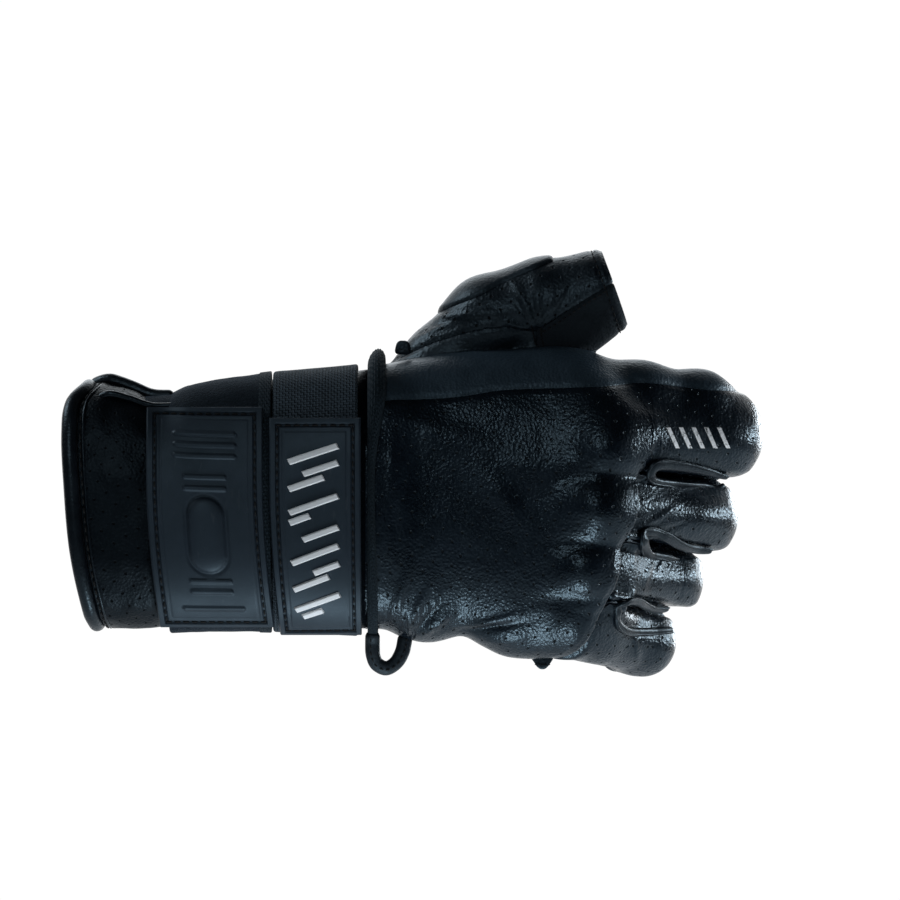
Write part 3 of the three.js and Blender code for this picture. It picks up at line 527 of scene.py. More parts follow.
def tube(path, outward, across, high, sides, looped=False):
    """A tube with round ends and an oval section, across wide and high thick, with uv in millimetres."""
    count = len(path)
    _, up, side = frames(path, outward, looped)
    turn = np.linspace(0, 2 * math.pi, sides + 1)
    ends = np.ones(count)
    if not looped:
        k = np.arange(count)
        from_end = np.minimum(k, count - 1 - k) * np.linalg.norm(path[1] - path[0])
        ends = np.sqrt(np.clip(1 - (1 - np.clip(from_end / (high / 2), 0.02, 1)) ** 2, 0.05, 1))
    across, high = np.broadcast_to(across, count) * ends, np.broadcast_to(high, count) * ends
    ring = np.cos(turn)[None, :, None] * (side * across[:, None] / 2)[:, None]
    ring = ring + np.sin(turn)[None, :, None] * (up * high[:, None] / 2)[:, None]
    points = (path[:, None] + ring).reshape(-1, 3)
    faces = grid_faces(count, sides + 1, count if looped else count - 1).tolist()
    if not looped:
        cap = np.arange(sides)
        faces += [cap.tolist(), ((count - 1) * (sides + 1) + cap[::-1]).tolist()]
    around = turn * np.mean(across) / 2
    uv = np.stack([np.repeat(distances_along(path), sides + 1), np.tile(around, count)], 1)
    return points, faces, uv


def grid_faces(rows, columns, spans, flip=False):
    """Quads of a grid of points, joined in a loop of rows where spans is rows."""
    i, j = np.meshgrid(np.arange(spans), np.arange(columns - 1), indexing="ij")
    near, far = i * columns + j, ((i + 1) % rows) * columns + j
    quads = np.stack([near, far, far + 1, near + 1], -1).reshape(-1, 4)
    return quads[:, ::-1] if flip else quads


def merged(parts):
    """Several (points, faces) as one."""
    points, faces, start = [], [], 0
    for part_points, part_faces in parts:
        points.append(part_points)
        faces += [[start + int(v) for v in face] for face in part_faces]
        start += len(part_points)
    return np.concatenate(points), faces


STITCH = {"bow": 0.55, "rows": 7, "sides": 6, "fewest": 3}
# Each seam's stitches: length, pitch and thickness
SEWN = {
    "binding": (2.1, 2.9, 0.5),
    "plate": (2.0, 2.7, 0.5),
    "loop": (1.3, 2.1, 0.4),
    "tab": (0.7, 1.1, 0.3),
    "hem": (1.7, 2.4, 0.42),
    "thumb": (1.3, 1.9, 0.38),
    "tack": (0.9, 0.95, 0.38),
}


def stitches(path, outward, seam):
    """Short round-ended threads along a path, each bowed a little out of the surface."""
    length, pitch, thick = SEWN[seam]
    count = max(STITCH["fewest"], int(round(distances_along(path)[-1] / pitch)) + 1)
    spine = course(np.concatenate([path, outward], 1), count)
    tangent, up, _ = frames(spine[:, :3], spine[:, 3:])
    along = np.linspace(-1, 1, STITCH["rows"])[:, None]
    parts = []
    for place, direction, out in zip(spine[:, :3], tangent, up):
        line = place + along * direction * length / 2 + (1 - along**2) * out * thick * STITCH["bow"]
        parts.append(tube(line, np.tile(out, (len(along), 1)), thick, thick, STITCH["sides"])[:2])
    return merged(parts)


# Materials
# Where most of a noise's values lie
MOST = (0.3, 0.7)


class Paint:
    """A material's node tree, with short calls for its nodes. Heights for bumps are in millimetres."""

    def __init__(self, name):
        self.material = bpy.data.materials.new(name)
        self.material.use_nodes = True
        self.tree = self.material.node_tree
        self.surface = self.tree.nodes["Principled BSDF"]

    def node(self, kind, inputs=(), **settings):
        node = self.tree.nodes.new(kind)
        for name, value in settings.items():
            setattr(node, name, value)
        for key, value in dict(inputs).items():
            if isinstance(value, bpy.types.NodeSocket):
                self.tree.links.new(value, node.inputs[key])
            else:
                node.inputs[key].default_value = value
        return node

    def math(self, operation, *values):
        return self.node("ShaderNodeMath", enumerate(values), operation=operation).outputs[0]

    def span(self, value, low, high, to_low=0.0, to_high=1.0):
        ends = {"From Min": low, "From Max": high, "To Min": to_low, "To Max": to_high}
        return self.node("ShaderNodeMapRange", {"Value": value, **ends}).outputs["Result"]

    def times(self, a, b):
        return self.math("MULTIPLY", a, b)

    def times_plus(self, a, b, c):
        return self.math("MULTIPLY_ADD", a, b, c)

    def vector(self, operation, *values):
        return self.node("ShaderNodeVectorMath", enumerate(values), operation=operation).outputs[0]

    def scaled(self, vector, by):
        return self.node("ShaderNodeVectorMath", {0: vector, "Scale": by}, operation="SCALE").outputs[0]

    def place(self):
        """Where a point is, in millimetres."""
        return self.scaled(self.node("ShaderNodeTexCoord").outputs["Object"], 1 / MM)

    def normal(self):
        return self.split(self.node("ShaderNodeTexCoord").outputs["Normal"])

    def split(self, vector):
        return self.node("ShaderNodeSeparateXYZ", {0: vector}).outputs[:]

    def grain(self, vector, size, detail=2.0):
        inputs = {"Vector": vector, "Scale": 1 / size, "Detail": detail, "Roughness": 0.55}
        return self.node("ShaderNodeTexNoise", inputs).outputs["Fac"]

    def mix(self, share, a, b):
        node = self.node("ShaderNodeMix", data_type="RGBA")
        for socket, value in ((node.inputs[0], share), (node.inputs[6], a), (node.inputs[7], b)):
            if isinstance(value, bpy.types.NodeSocket):
                self.tree.links.new(value, socket)
            else:
                socket.default_value = value if socket == node.inputs[0] else (*value, 1)
        return node.outputs[2]

    def finish(self, colour, roughness, height, **uniform):
        """Links the colour, roughness and height, and sets what is the same all over on its own socket."""
        self.tree.links.new(colour, self.surface.inputs["Base Color"])
        self.tree.links.new(roughness, self.surface.inputs["Roughness"])
        bump = self.node("ShaderNodeBump", {"Height": height, "Distance": MM, "Strength": 1.0})
        self.tree.links.new(bump.outputs[0], self.surface.inputs["Normal"])
        for name, value in uniform.items():
            self.surface.inputs[name.replace("_", " ")].default_value = value
        return self.material


HOLES = {"pitch": 6.1, "row": 3.0, "radius": 0.47, "soft": 0.2, "turn": -0.16, "bend": 34.0, "drift": 9.0}


def facing_plane(paint, spot):
    """The two coordinates of a point in whichever plane the surface faces."""
    x, y, z = paint.split(spot)
    nx, ny, nz = (paint.math("ABSOLUTE", n) for n in paint.normal())
    along_x = paint.math("GREATER_THAN", nx, paint.math("MAXIMUM", ny, nz))
    along_z = paint.math("GREATER_THAN", nz, paint.math("MAXIMUM", nx, ny))
    u = paint.times_plus(along_x, paint.math("SUBTRACT", y, x), x)
    v = paint.times_plus(along_z, paint.math("SUBTRACT", y, z), z)
    return u, v


def perforations(paint, spot):
    """1 inside the holes of staggered rows, 0 outside."""
    bend = paint.node("ShaderNodeTexNoise", {"Vector": spot, "Scale": 1 / HOLES["bend"], "Detail": 0.0})
    bend = paint.vector("SUBTRACT", bend.outputs["Color"], (0.5, 0.5, 0.5))
    u, v = facing_plane(paint, paint.vector("ADD", spot, paint.scaled(bend, HOLES["drift"])))
    c, s = math.cos(HOLES["turn"]), math.sin(HOLES["turn"])
    u, v = paint.times_plus(u, c, paint.times(v, s)), paint.times_plus(v, c, paint.times(u, -s))
    row = paint.math("DIVIDE", v, HOLES["row"])
    odd = paint.math("FLOORED_MODULO", paint.math("FLOOR", row), 2.0)
    column = paint.times_plus(odd, 0.5, paint.math("DIVIDE", u, HOLES["pitch"]))
    du = paint.times(paint.math("SUBTRACT", paint.math("FRACT", column), 0.5), HOLES["pitch"])
    dv = paint.times(paint.math("SUBTRACT", paint.math("FRACT", row), 0.5), HOLES["row"])
    away = paint.math("ADD", paint.times(du, du), paint.times(dv, dv))
    return paint.span(paint.math("SQRT", away), HOLES["radius"], HOLES["radius"] - HOLES["soft"])


# White strokes printed on the back of the index finger: where they stand, and how they lean
STROKES = {"from": 188.5, "to": 208.5, "low": 17.6, "high": 24.4, "pitch": 4.0, "wide": 1.35, "lean": 0.45,
           "crisp": 0.1, "soft": 0.3, "deepest": 12.0, "thick": 0.06, "colour": (0.95, 0.96, 0.97)}


def strokes(paint, spot):
    x, y, z = paint.split(spot)
    shifted = paint.times_plus(z, STROKES["lean"], x)
    start = STROKES["from"] + STROKES["lean"] * STROKES["low"]
    pitches = paint.math("DIVIDE", paint.math("SUBTRACT", shifted, start), STROKES["pitch"])
    inside = paint.math("LESS_THAN", paint.math("FRACT", pitches), STROKES["wide"] / STROKES["pitch"])
    stop = start + STROKES["to"] - STROKES["from"]
    crisp, soft = STROKES["crisp"], STROKES["soft"]
    ends = (paint.span(shifted, start, start + crisp), paint.span(shifted, stop, stop - crisp))
    low, high = STROKES["low"], STROKES["high"]
    rows = (paint.span(z, low, low + soft), paint.span(z, high, high - soft))
    outside = paint.math("LESS_THAN", paint.normal()[1], 0.0)
    front = paint.times(paint.math("LESS_THAN", y, STROKES["deepest"]), outside)
    mask = paint.times(inside, front)
    for limit in (*ends, *rows):
        mask = paint.times(mask, limit)
    return mask


# The cool cast of the gloss, and the leather's grain: sizes and depths in millimetres
COOL = (0.62, 0.85, 1.0, 1)
GRAIN = {"cloud": 9.0, "fine": 0.65, "cell": 0.95, "fold": 1.5, "fold_deep": 0.9, "uneven_gloss": 0.03,
         "fold_stretch": (1.0, 0.25, 0.22)}
# The perforations: how deep they are, the near-black colour inside them, which is painted shade, and how rough
# they are
HOLE = {"deep": -0.55, "colour": (0.001, 0.001, 0.0015), "rough": 0.7}


def leather(name, dark, light, rough, holes=False, printed=False, pebble=0.11, **uniform):
    """Grained leather with wrinkles where the mesh's crease attribute asks for them."""
    paint = Paint(name)
    spot = paint.place()
    cloudy = paint.grain(spot, GRAIN["cloud"])
    fine = paint.grain(spot, GRAIN["fine"], 3.0)
    cells = paint.node("ShaderNodeTexVoronoi", {"Vector": spot, "Scale": 1 / GRAIN["cell"]})
    crease = paint.node("ShaderNodeAttribute", attribute_name="crease").outputs["Fac"]
    folds = paint.grain(paint.vector("MULTIPLY", spot, GRAIN["fold_stretch"]), GRAIN["fold"], 2.0)
    height = paint.times(fine, pebble)
    height = paint.times_plus(cells.outputs["Distance"], pebble, height)
    height = paint.times_plus(paint.times(folds, crease), GRAIN["fold_deep"], height)
    tone = paint.span(paint.times_plus(fine, 0.5, cloudy), 0.45, 1.0)
    colour = paint.mix(tone, dark, light)
    roughness = paint.span(cloudy, *MOST, rough - GRAIN["uneven_gloss"], rough + GRAIN["uneven_gloss"])
    if holes:
        hole = perforations(paint, spot)
        height = paint.times_plus(hole, HOLE["deep"], height)
        # The holes are painted near black: painted shade inside them.
        colour = paint.mix(hole, colour, HOLE["colour"])
        roughness = paint.times_plus(hole, HOLE["rough"], roughness)
    if printed:
        print_mask = strokes(paint, spot)
        worn = paint.span(paint.grain(spot, 1.2, 4.0), 0.3, 0.42)
        colour = paint.mix(paint.times(print_mask, worn), colour, STROKES["colour"])
        height = paint.times_plus(print_mask, STROKES["thick"], height)
    return paint.finish(colour, roughness, height, Specular_Tint=COOL, **uniform)


# Woven threads: their hairs' size and depth, the span of the weave over which the threads go from painted shade
# in the dips between them to a painted highlight on their crowns, their patchy wear, and how their gloss varies
WEAVE = {"hair": 0.22, "hair_deep": 0.35, "cloud": 7.0, "tone": (0.1, 1.0), "worn": (0.25, 0.7, 0.55, 1.0),
         "rough": (0.2, 0.8, 0.78, 0.95)}


def woven(name, dark, light, warp, weft, depth, **uniform):
    """A plain weave with its threads warp and weft millimetres apart, coloured darker in the dips between
    threads and lighter on their crowns as painted shade and painted highlight.
    """
    paint = Paint(name)
    u, v, _ = paint.split(paint.node("ShaderNodeUVMap", uv_map="along").outputs["UV"])
    a, b = paint.math("DIVIDE", u, warp), paint.math("DIVIDE", v, weft)
    odd = paint.math("FLOORED_MODULO", paint.math("ADD", paint.math("FLOOR", a), paint.math("FLOOR", b)), 2.0)

    def crown(value):
        middle = paint.math("SUBTRACT", paint.math("FRACT", value), 0.5)
        return paint.math("COSINE", paint.times(middle, math.pi))

    over, under = crown(a), crown(b)
    weave = paint.times_plus(odd, paint.math("SUBTRACT", over, under), under)
    threads = paint.grain(paint.node("ShaderNodeCombineXYZ", {0: u, 1: v}).outputs[0], WEAVE["hair"], 3.0)
    cloudy = paint.grain(paint.place(), WEAVE["cloud"])
    height = paint.times_plus(threads, depth * WEAVE["hair_deep"], paint.times(weave, depth))
    # The colour follows the weave's height: the threads' crowns are painted light and the dips between them
    # dark, a painted highlight and painted shade, then patchily worn.
    tone = paint.times(paint.span(weave, *WEAVE["tone"]), paint.span(cloudy, *WEAVE["worn"]))
    roughness = paint.span(threads, *WEAVE["rough"])
    return paint.finish(paint.mix(tone, dark, light), roughness, height, **uniform)


PILE = {"clump": 0.9, "clump_high": 0.35, "hair": 0.25, "hair_high": 0.2, "tone": (0.55, 1.0),
        "rough": (0.85, 1.0)}
SHEEN = {"Sheen_Weight": 0.14, "Sheen_Roughness": 0.35, "Sheen_Tint": (0.5, 0.7, 1.0, 1),
         "Specular_Tint": COOL, "Specular_IOR_Level": 0.3}


def velour(name, dark, light):
    """Short pile with a soft sheen and small clumps."""
    paint = Paint(name)
    spot = paint.place()
    clumps = paint.grain(spot, PILE["clump"], 4.0)
    hairs = paint.grain(spot, PILE["hair"], 2.0)
    height = paint.times_plus(clumps, PILE["clump_high"], paint.times(hairs, PILE["hair_high"]))
    tone = paint.span(paint.times_plus(hairs, 0.6, clumps), *PILE["tone"])
    roughness = paint.span(hairs, *MOST, *PILE["rough"])
    return paint.finish(paint.mix(tone, dark, light), roughness, height, **SHEEN)


MOULDED = {"speckle": 0.35, "speckle_high": 0.035, "cloud": 12.0, "scuff": 0.8,
           "scuff_stretch": (0.6, 1.0, 0.12), "scuffed": (0.62, 0.8), "scuff_share": 0.15,
           "scuff_colour": (0.12, 0.13, 0.14)}


def rubber(name, dark, light, rough):
    """Matt moulded rubber with a faint speckle and a few scuffs."""
    paint = Paint(name)
    spot = paint.place()
    speckle = paint.grain(spot, MOULDED["speckle"], 3.0)
    cloudy = paint.grain(spot, MOULDED["cloud"], 3.0)
    scuffs = paint.grain(paint.vector("MULTIPLY", spot, MOULDED["scuff_stretch"]), MOULDED["scuff"], 4.0)
    scuffs = paint.times(paint.span(scuffs, *MOULDED["scuffed"]), MOULDED["scuff_share"])
    colour = paint.mix(scuffs, paint.mix(paint.span(cloudy, *MOST), dark, light), MOULDED["scuff_colour"])
    roughness = paint.span(cloudy, *MOST, rough + 0.06, rough - 0.05)
    return paint.finish(colour, roughness, paint.times(speckle, MOULDED["speckle_high"]), Specular_Tint=COOL)


BLACK, GLOSS = (0.0014, 0.0032, 0.006), (0.005, 0.009, 0.015)
PERFORATED = leather("perforated_leather", BLACK, GLOSS, 0.28, holes=True)
PRINTED = leather("printed_leather", BLACK, GLOSS, 0.28, holes=True, printed=True)
SMOOTH = leather("smooth_leather", (0.0045, 0.0075, 0.011), (0.0105, 0.016, 0.0225), 0.42, pebble=0.09)
# The side strip's leather is the smooth leather above coloured several times lighter, which paints in the light
# falling on this upward-facing strip.
STRIP_LEATHER = leather("strip_leather", (0.019, 0.032, 0.045), (0.028, 0.045, 0.062), 0.42)
THUMB_LEATHER = leather("thumb_leather", (0.003, 0.0055, 0.0085), (0.008, 0.0125, 0.018), 0.38, holes=True)
SUEDE = leather("suede_leather", (0.0025, 0.0032, 0.0045), (0.01, 0.012, 0.0155), 0.85, pebble=0.12)
CUFF_LEATHER = leather("cuff_leather", (0.0008, 0.0015, 0.003), (0.0022, 0.004, 0.0065), 0.42, holes=True,
                       Specular_IOR_Level=0.2)
BINDING_LEATHER = leather("binding_leather", (0.002, 0.003, 0.0048), (0.0065, 0.009, 0.013), 0.36,
                          pebble=0.06, Specular_IOR_Level=0.4)
VELOUR = velour("strap_velour", (0.0015, 0.0028, 0.0048), (0.0065, 0.0105, 0.0165))
LINING = velour("lining_pile", (0.004, 0.0045, 0.0055), (0.012, 0.0135, 0.016))
# In the weaves the light colour is the painted highlight on the threads' crowns and the dark colour the painted
# shade between them.
WEBBING = woven("elastic_webbing", (0.0015, 0.003, 0.0045), (0.06, 0.08, 0.102), 0.95, 0.85, 0.34,
                Specular_Tint=COOL)
TAPE_WEAVE = woven("wrist_tape", (0.0015, 0.003, 0.0045), (0.013, 0.022, 0.031), 0.55, 1.2, 0.24,
                   Specular_Tint=COOL)
RUBBER = rubber("moulded_rubber", (0.0128, 0.019, 0.0275), (0.0178, 0.0257, 0.0372), 0.5)
WHITE_RUBBER = rubber("white_rubber", (0.88, 0.9, 0.92), (0.94, 0.95, 0.96), 0.5)
LOOP_LEATHER = leather("loop_leather", (0.009, 0.0115, 0.015), (0.016, 0.02, 0.025), 0.55, pebble=0.05)
# The thread's weave is coloured the same way, with painted shade between its strands and a painted highlight on
# their crowns.
THREAD = woven("thread", (0.002, 0.003, 0.004), (0.014, 0.018, 0.022), 0.3, 0.3, 0.05)


# The camera looks straight at the back of the hand, from so far that near parts look hardly bigger
CAMERA = {"x": 118.1, "z": 17.2, "away": 4500.0, "width": 281.25, "film": 36.0, "sees": 50.0}


def add_camera():
    camera = bpy.data.objects.new("camera", bpy.data.cameras.new("camera"))
    camera.location = (CAMERA["x"] * MM, -CAMERA["away"] * MM, CAMERA["z"] * MM)
    camera.rotation_euler = (math.pi / 2, 0, 0)
    camera.data.sensor_width = CAMERA["film"]
    camera.data.lens = CAMERA["film"] * CAMERA["away"] / CAMERA["width"]
    camera.data.clip_end = CAMERA["sees"]
    bpy.context.scene.collection.objects.link(camera)
    bpy.context.scene.camera = camera


add_camera()

# The hand's leather
LEATHER = 1.3
SEAM = {"deep": 0.5, "wide": 0.9}
SPLIT = 0.6
INDEX_SPARE = 0.8
# Where the back's edge folds over the fingers' roots: how far they sink, and the edge's roll and slope
FOLD = {"under": 3.8, "fade": 9.0, "tuck": 1.5, "edge": 1.0, "tucked": 2.0, "over": 0.35, "behind": 1.2,
        "roll": 1.6, "slope": 0.27, "width": 4.5, "clear": (12.0, 24.0), "below": (0.0, 2.5),
        "little_side": (4.0, 14.0), "crease_deep": 0.9, "crease_at": 2.2, "crease_wide": 1.5,
        "from_sides": (0.6, 3.0), "on_backs": (0.1, 0.5), "overlap": 4.0, "full": (4.0, 16.0)}
# Wrinkles: everywhere, over the heel of the back, and along its folded edge
WRINKLES = {"back": 0.015, "heel": 0.9, "heel_x": 107.0, "heel_z": -36.0, "heel_long": 14.0, "heel_wide": 8.0,
            "edge": 0.25, "edge_at": -1.5, "edge_wide": 3.0, "finger": 0.08, "bend": 0.12, "bend_wide": 14.0,
            "root": 0.3, "root_wide": 4.0, "side": 0.08, "palm": 0.15, "thumb_strip": 0.12, "guard": 0.1}
FACING = 1.6
KNUCKLES = table("x z radius high", [
    (166.6, 16.6, 7.5, 1.5),
    (163.8, -0.9, 6.5, 1.8),
    (159.0, -20.9, 6.0, 1.6),
    (156.0, -37.5, 5.5, 1.0),
    (206.0, 20.5, 8.5, 2.2),
    (199.0, -3.5, 8.0, 2.8),
    (190.5, -23.0, 7.0, 2.6),
    (183.5, -43.0, 7.0, 1.8),
])
# Long soft folds on the back: middle, turn in degrees, half length, half width and height
FOLDS = table("x z turn long wide high", [
    (164.0, 8.5, 0, 13, 2.6, -0.7),
    (163.0, -12.5, 0, 14, 2.6, -1.0),
    (161.0, -29.5, 0, 13, 2.4, -0.9),
    (116.0, 22.5, -19, 15, 4.0, 0.7),
    (134.0, 3.5, -51, 10, 3.6, 0.8),
    (146.0, 12.0, -8, 14, 5.0, 0.5),
    (108.0, -32.0, 62, 6, 1.3, 0.7),
    (111.5, -35.0, 48, 7, 1.2, -0.8),
    (103.0, -27.0, 75, 7, 1.4, 0.6),
    (114.0, -37.0, 35, 6, 1.3, 0.7),
    (131.0, -35.8, 14, 8, 1.0, 0.6),
    (132.0, -37.8, 10, 8, 0.9, -0.9),
    (134.0, -41.0, 4, 7, 1.6, 0.5),
    (100.0, 10.0, 88, 11, 1.6, 0.4),
    (101.0, -8.0, 95, 9, 1.5, -0.35),
    (183.2, -4.4, 36, 5.5, 0.6, 0.5),
    (182.4, -2.9, 40, 5.0, 0.8, -0.35),
    (186.0, -7.5, 25, 5.0, 0.7, -0.4),
    (179.3, -21.5, 72, 4, 0.7, 0.35),
    (180.9, -21.5, 70, 4, 0.8, -0.3),
    (183.0, -18.6, 60, 3, 0.6, 0.4),
    (175.5, -44.5, 100, 4, 0.7, 0.5),
])


def back_relief(p, normals):
    """Knuckles and long folds, on what faces the camera's side."""
    facing = np.clip(-normals[:, 1] * FACING, 0, 1)
    height = np.zeros(len(p))
    for x, z, radius, high in zip(*KNUCKLES.values()):
        height += high * np.exp(-((p[:, 0] - x) ** 2 + (p[:, 2] - z) ** 2) / radius**2)
    return (height + folded(p, FOLDS)) * facing


def folded(p, rows):
    """The height of a table's folds."""
    height = np.zeros(len(p))
    for x, z, turn, long, wide, high in zip(*rows.values()):
        c, s = math.cos(math.radians(turn)), math.sin(math.radians(turn))
        along, across = (p[:, 0] - x) * c + (p[:, 2] - z) * s, (p[:, 2] - z) * c - (p[:, 0] - x) * s
        height += high * np.exp(-((along / long) ** 2) - (across / wide) ** 2)
    return height


# How far the lower edge stands out or in: middle, length, height
EDGE_BULGES = table("x long high", [(122.0, 4.0, -1.2), (137.5, 9.0, 2.6), (112.0, 5.0, 0.6)])


def lower_edge(p, normals):
    below = np.clip(-normals[:, 2], 0, 1) ** 1.5
    return below * sum(high * bell(p[:, 0] - x, long) for x, long, high in zip(*EDGE_BULGES.values()))


def groove(distance):
    return -SEAM["deep"] * bell(distance, SEAM["wide"])


def uneven(p):
    return 0.22 * noise(p, 11.0) + 0.1 * noise(p + 5.0, 4.5)


def side_height(p):
    return p[:, 2] - smooth(SIDE_SEAM, "x", "z", p[:, 0])


def thumb_depth(p):
    return hand_field(p) - thumb_field(p)


def index_field(p):
    """The hand with the index finger's inner wall."""
    return soft_max(pressed_field(p), slit_wall(p), EDGE_ROUND)


def slit_wall(p):
    return np.minimum(outside_share(p, "index", opened=True), root_distance(p))


def finger_field(name):
    return lambda p: soft_max(pressed_field(p), outside_share(p, name, opened=True), EDGE_ROUND)


def hand_or_index(p):
    """Positive on the back of the hand and on the whole index finger."""
    root = root_distance(p) + SPLIT
    index = np.minimum.reduce([root, -past_finger_end(p, "index"), INDEX_SPARE - outside_share(p, "index")])
    return np.maximum(np.minimum(-root, -palm_side(p)), index)


def add_leather(name, part, height, crease, material, slot, *nodes, thick=LEATHER):
    """A shell of leather over a part of the hand, raised by height and wrinkled by crease."""
    points, triangles, normals = part
    outer = points + normals * height[:, None]
    piece = add_piece(name, thickened(outer, triangles, outer - normals * thick), material, slot, *nodes)
    wrinkled = np.broadcast_to(crease, len(points)).astype(np.float32)
    piece.data.attributes.new("crease", "FLOAT", "POINT").data.foreach_set("value", np.tile(wrinkled, 2))


def finger_crease(p, name):
    """Wrinkles where a finger bends and near its root."""
    bend = bell(np.linalg.norm(p - row_point(DIGITS[name], 1), axis=1), WRINKLES["bend_wide"])
    root = bell(root_distance(p), WRINKLES["root_wide"])
    return WRINKLES["finger"] + WRINKLES["bend"] * bend + WRINKLES["root"] * root


# How much fuller than the plain form the fingers are, to the right and below
PLUMP = {"index": (0.0, 0.0), "middle": (0.9, 0.0), "ring": (1.4, 0.0), "little": (1.3, 1.6)}


def finger_height(p, normals, name):
    """A finger's relief: folds, unevenness, fullness, and the sunk edge at its root."""
    right, below = PLUMP[name]
    past = step_between(*FOLD["full"], root_distance(p))
    full = past * (right * np.clip(normals[:, 0], 0, 1) + below * np.clip(-normals[:, 2], 0, 1))
    sunk = 0
    if name != "index":
        sunk = -FOLD["under"] * np.exp(-np.maximum(root_distance(p) + SPLIT, 0) / FOLD["fade"])
        sunk = sunk * step_between(*FOLD["from_sides"], -outside_share(p, name))
        sunk = sunk * step_between(*FOLD["on_backs"], -normals[:, 1])
    tucked = -FOLD["tuck"] * step_between(SPLIT, FOLD["tucked"], -root_distance(p))
    return full + sunk + tucked + uneven(p) + back_relief(p, normals)


HEM = {"turned": 0.8, "end": 1.0, "line": 3.2, "deep": 0.35, "wide": 0.7, "sunk": 0.3, "reach": 30.0}


def hem(past_end):
    """The end of a sleeve turned in, with a row of stitches in a groove."""
    return -HEM["turned"] * bell(past_end, HEM["end"]) - HEM["deep"] * bell(past_end + HEM["line"], HEM["wide"])


def add_hand():
    whole = sampled(whole_field)
    everywhere = grid_points(all_places(whole.shape), GRID["cell"])
    depth = whole.ravel() - pressed(everywhere)
    index_values = soft_max(depth, slit_wall(everywhere), EDGE_ROUND).reshape(whole.shape)

    def off_thumb(*others):
        return lambda p: np.minimum.reduce([-thumb_depth(p), *[other(p) for other in others]])

    back = skin(index_values, index_field, off_thumb(lambda p: -side_height(p), hand_or_index))
    p, normals = back[0], back[2]
    root = root_distance(p) + SPLIT
    low = 1 - step_between(*FOLD["clear"], p[:, 2])
    below = step_between(*FOLD["below"], outside_share(p, "index"))
    fold = FOLD["over"] * bell(root + FOLD["behind"], FOLD["roll"]) * low * below
    fold -= FOLD["crease_deep"] * bell(root - FOLD["crease_at"], FOLD["crease_wide"]) * low
    fold -= FOLD["tuck"] * bell(root, FOLD["edge"]) * low * below
    sloping = np.clip(root + FOLD["width"], 0, FOLD["width"]) * step_between(*FOLD["little_side"], -p[:, 2])
    fold -= FOLD["slope"] * sloping * below
    height = back_relief(p, normals) + groove(side_height(p)) + groove(thumb_depth(p)) + uneven(p) + fold
    height += lower_edge(p, normals)
    height += np.where(root < 0, groove(palm_side(p)), hem(past_finger_end(p, "index")))
    heel_x, heel_z = p[:, 0] - WRINKLES["heel_x"], p[:, 2] - WRINKLES["heel_z"]
    heel = bell(heel_x, WRINKLES["heel_long"]) * bell(heel_z, WRINKLES["heel_wide"])
    edge = bell(root - WRINKLES["edge_at"], WRINKLES["edge_wide"]) * low
    crease = WRINKLES["back"] + WRINKLES["heel"] * heel + WRINKLES["edge"] * edge
    crease += np.where(root < 0, 0, finger_crease(p, "index"))
    nodes = ("back_panel", "index_sleeve")
    add_leather("back_leather", back, height, crease, PRINTED, "perforated_leather", *nodes)

    side = skin(whole, whole_field, off_thumb(side_height, hand_or_index))
    p = side[0]
    height = groove(side_height(p)) + groove(thumb_depth(p)) + uneven(p)
    height += np.where(root_distance(p) < -SPLIT, groove(palm_side(p)), hem(past_finger_end(p, "index")))
    add_leather("side_leather", side, height, WRINKLES["side"], STRIP_LEATHER, "smooth_leather", "side_panel")

    palm = skin(whole, whole_field, off_thumb(palm_side, lambda p: -root_distance(p) - SPLIT))
    p = palm[0]
    height = groove(palm_side(p)) + groove(thumb_depth(p)) + uneven(p) + lower_edge(p, palm[2])
    add_leather("palm_leather", palm, height, WRINKLES["palm"], SUEDE, "suede_leather", "palm_panel")

    for name in FINGERS[1:]:
        def kept(p):
            return np.minimum(root_distance(p) + FOLD["overlap"], -past_finger_end(p, name))

        values = soft_max(depth, outside_share(everywhere, name, opened=True), EDGE_ROUND)
        finger = skin(values.reshape(whole.shape), finger_field(name), kept)
        p = finger[0]
        height = finger_height(p, finger[2], name) + hem(past_finger_end(p, name))
        slot, node = "perforated_leather", f"{name}_sleeve"
        add_leather(f"{name}_leather", finger, height, finger_crease(p, name), PERFORATED, slot, node)
    return whole


def thumb_base(p):
    """Positive on the smooth strip below the thumb's seam, as far as the seam on the palm's side."""
    middle_y, middle_z = (smooth(THUMB, "x", c, p[:, 0]) for c in "yz")
    below = PALM_SLOPES["thumb"] * (middle_z - p[:, 2]) - (p[:, 1] - middle_y)
    return np.minimum(smooth(THUMB_SEAM, "x", "z", p[:, 0]) - p[:, 2], below)


# The bar-tack that the thumb's folds fan out from, and the guard over its outer edge
TACK = {"x": 145.5, "z": 54.8}
FAN = {"high": 0.28, "spokes": 13.0, "wander": 1.5, "near": 3.0, "full": 6.0, "far": 20.0}
GUARD = {"from": 105.5, "to": 150.3, "high": 1.0, "wrap": 0.9, "edge": 0.8, "thick": 1.1}
THUMB_ROUGH = {"folds": 0.5, "high": 0.12, "size": 4.0, "stretch": (1.0, 0.5, 0.35)}
THUMB_WRINKLES = {"least": 0.06, "seam": 0.25, "wide": 9.0, "from": 126.0, "to": 140.0}


THUMB_FOLDS = table("x z turn long wide high", [
    (121.0, 59.3, 3, 11, 1.0, 0.8),
    (122.0, 57.3, 5, 11, 1.1, -0.8),
    (134.5, 58.2, -28, 8, 1.0, 0.8),
    (134.5, 55.9, -24, 7, 1.0, -0.7),
    (113.0, 54.6, 24, 8, 0.8, 0.7),
    (119.0, 55.2, 10, 9, 0.9, -0.6),
    (128.0, 63.5, 12, 9, 1.3, 0.5),
    (141.0, 64.0, -60, 7, 1.0, 0.5),
    (144.5, 62.5, -75, 7, 0.9, -0.6),
    (151.5, 63.0, 62, 6, 0.8, 0.6),
    (153.5, 64.0, 62, 7, 0.8, -0.6),
])


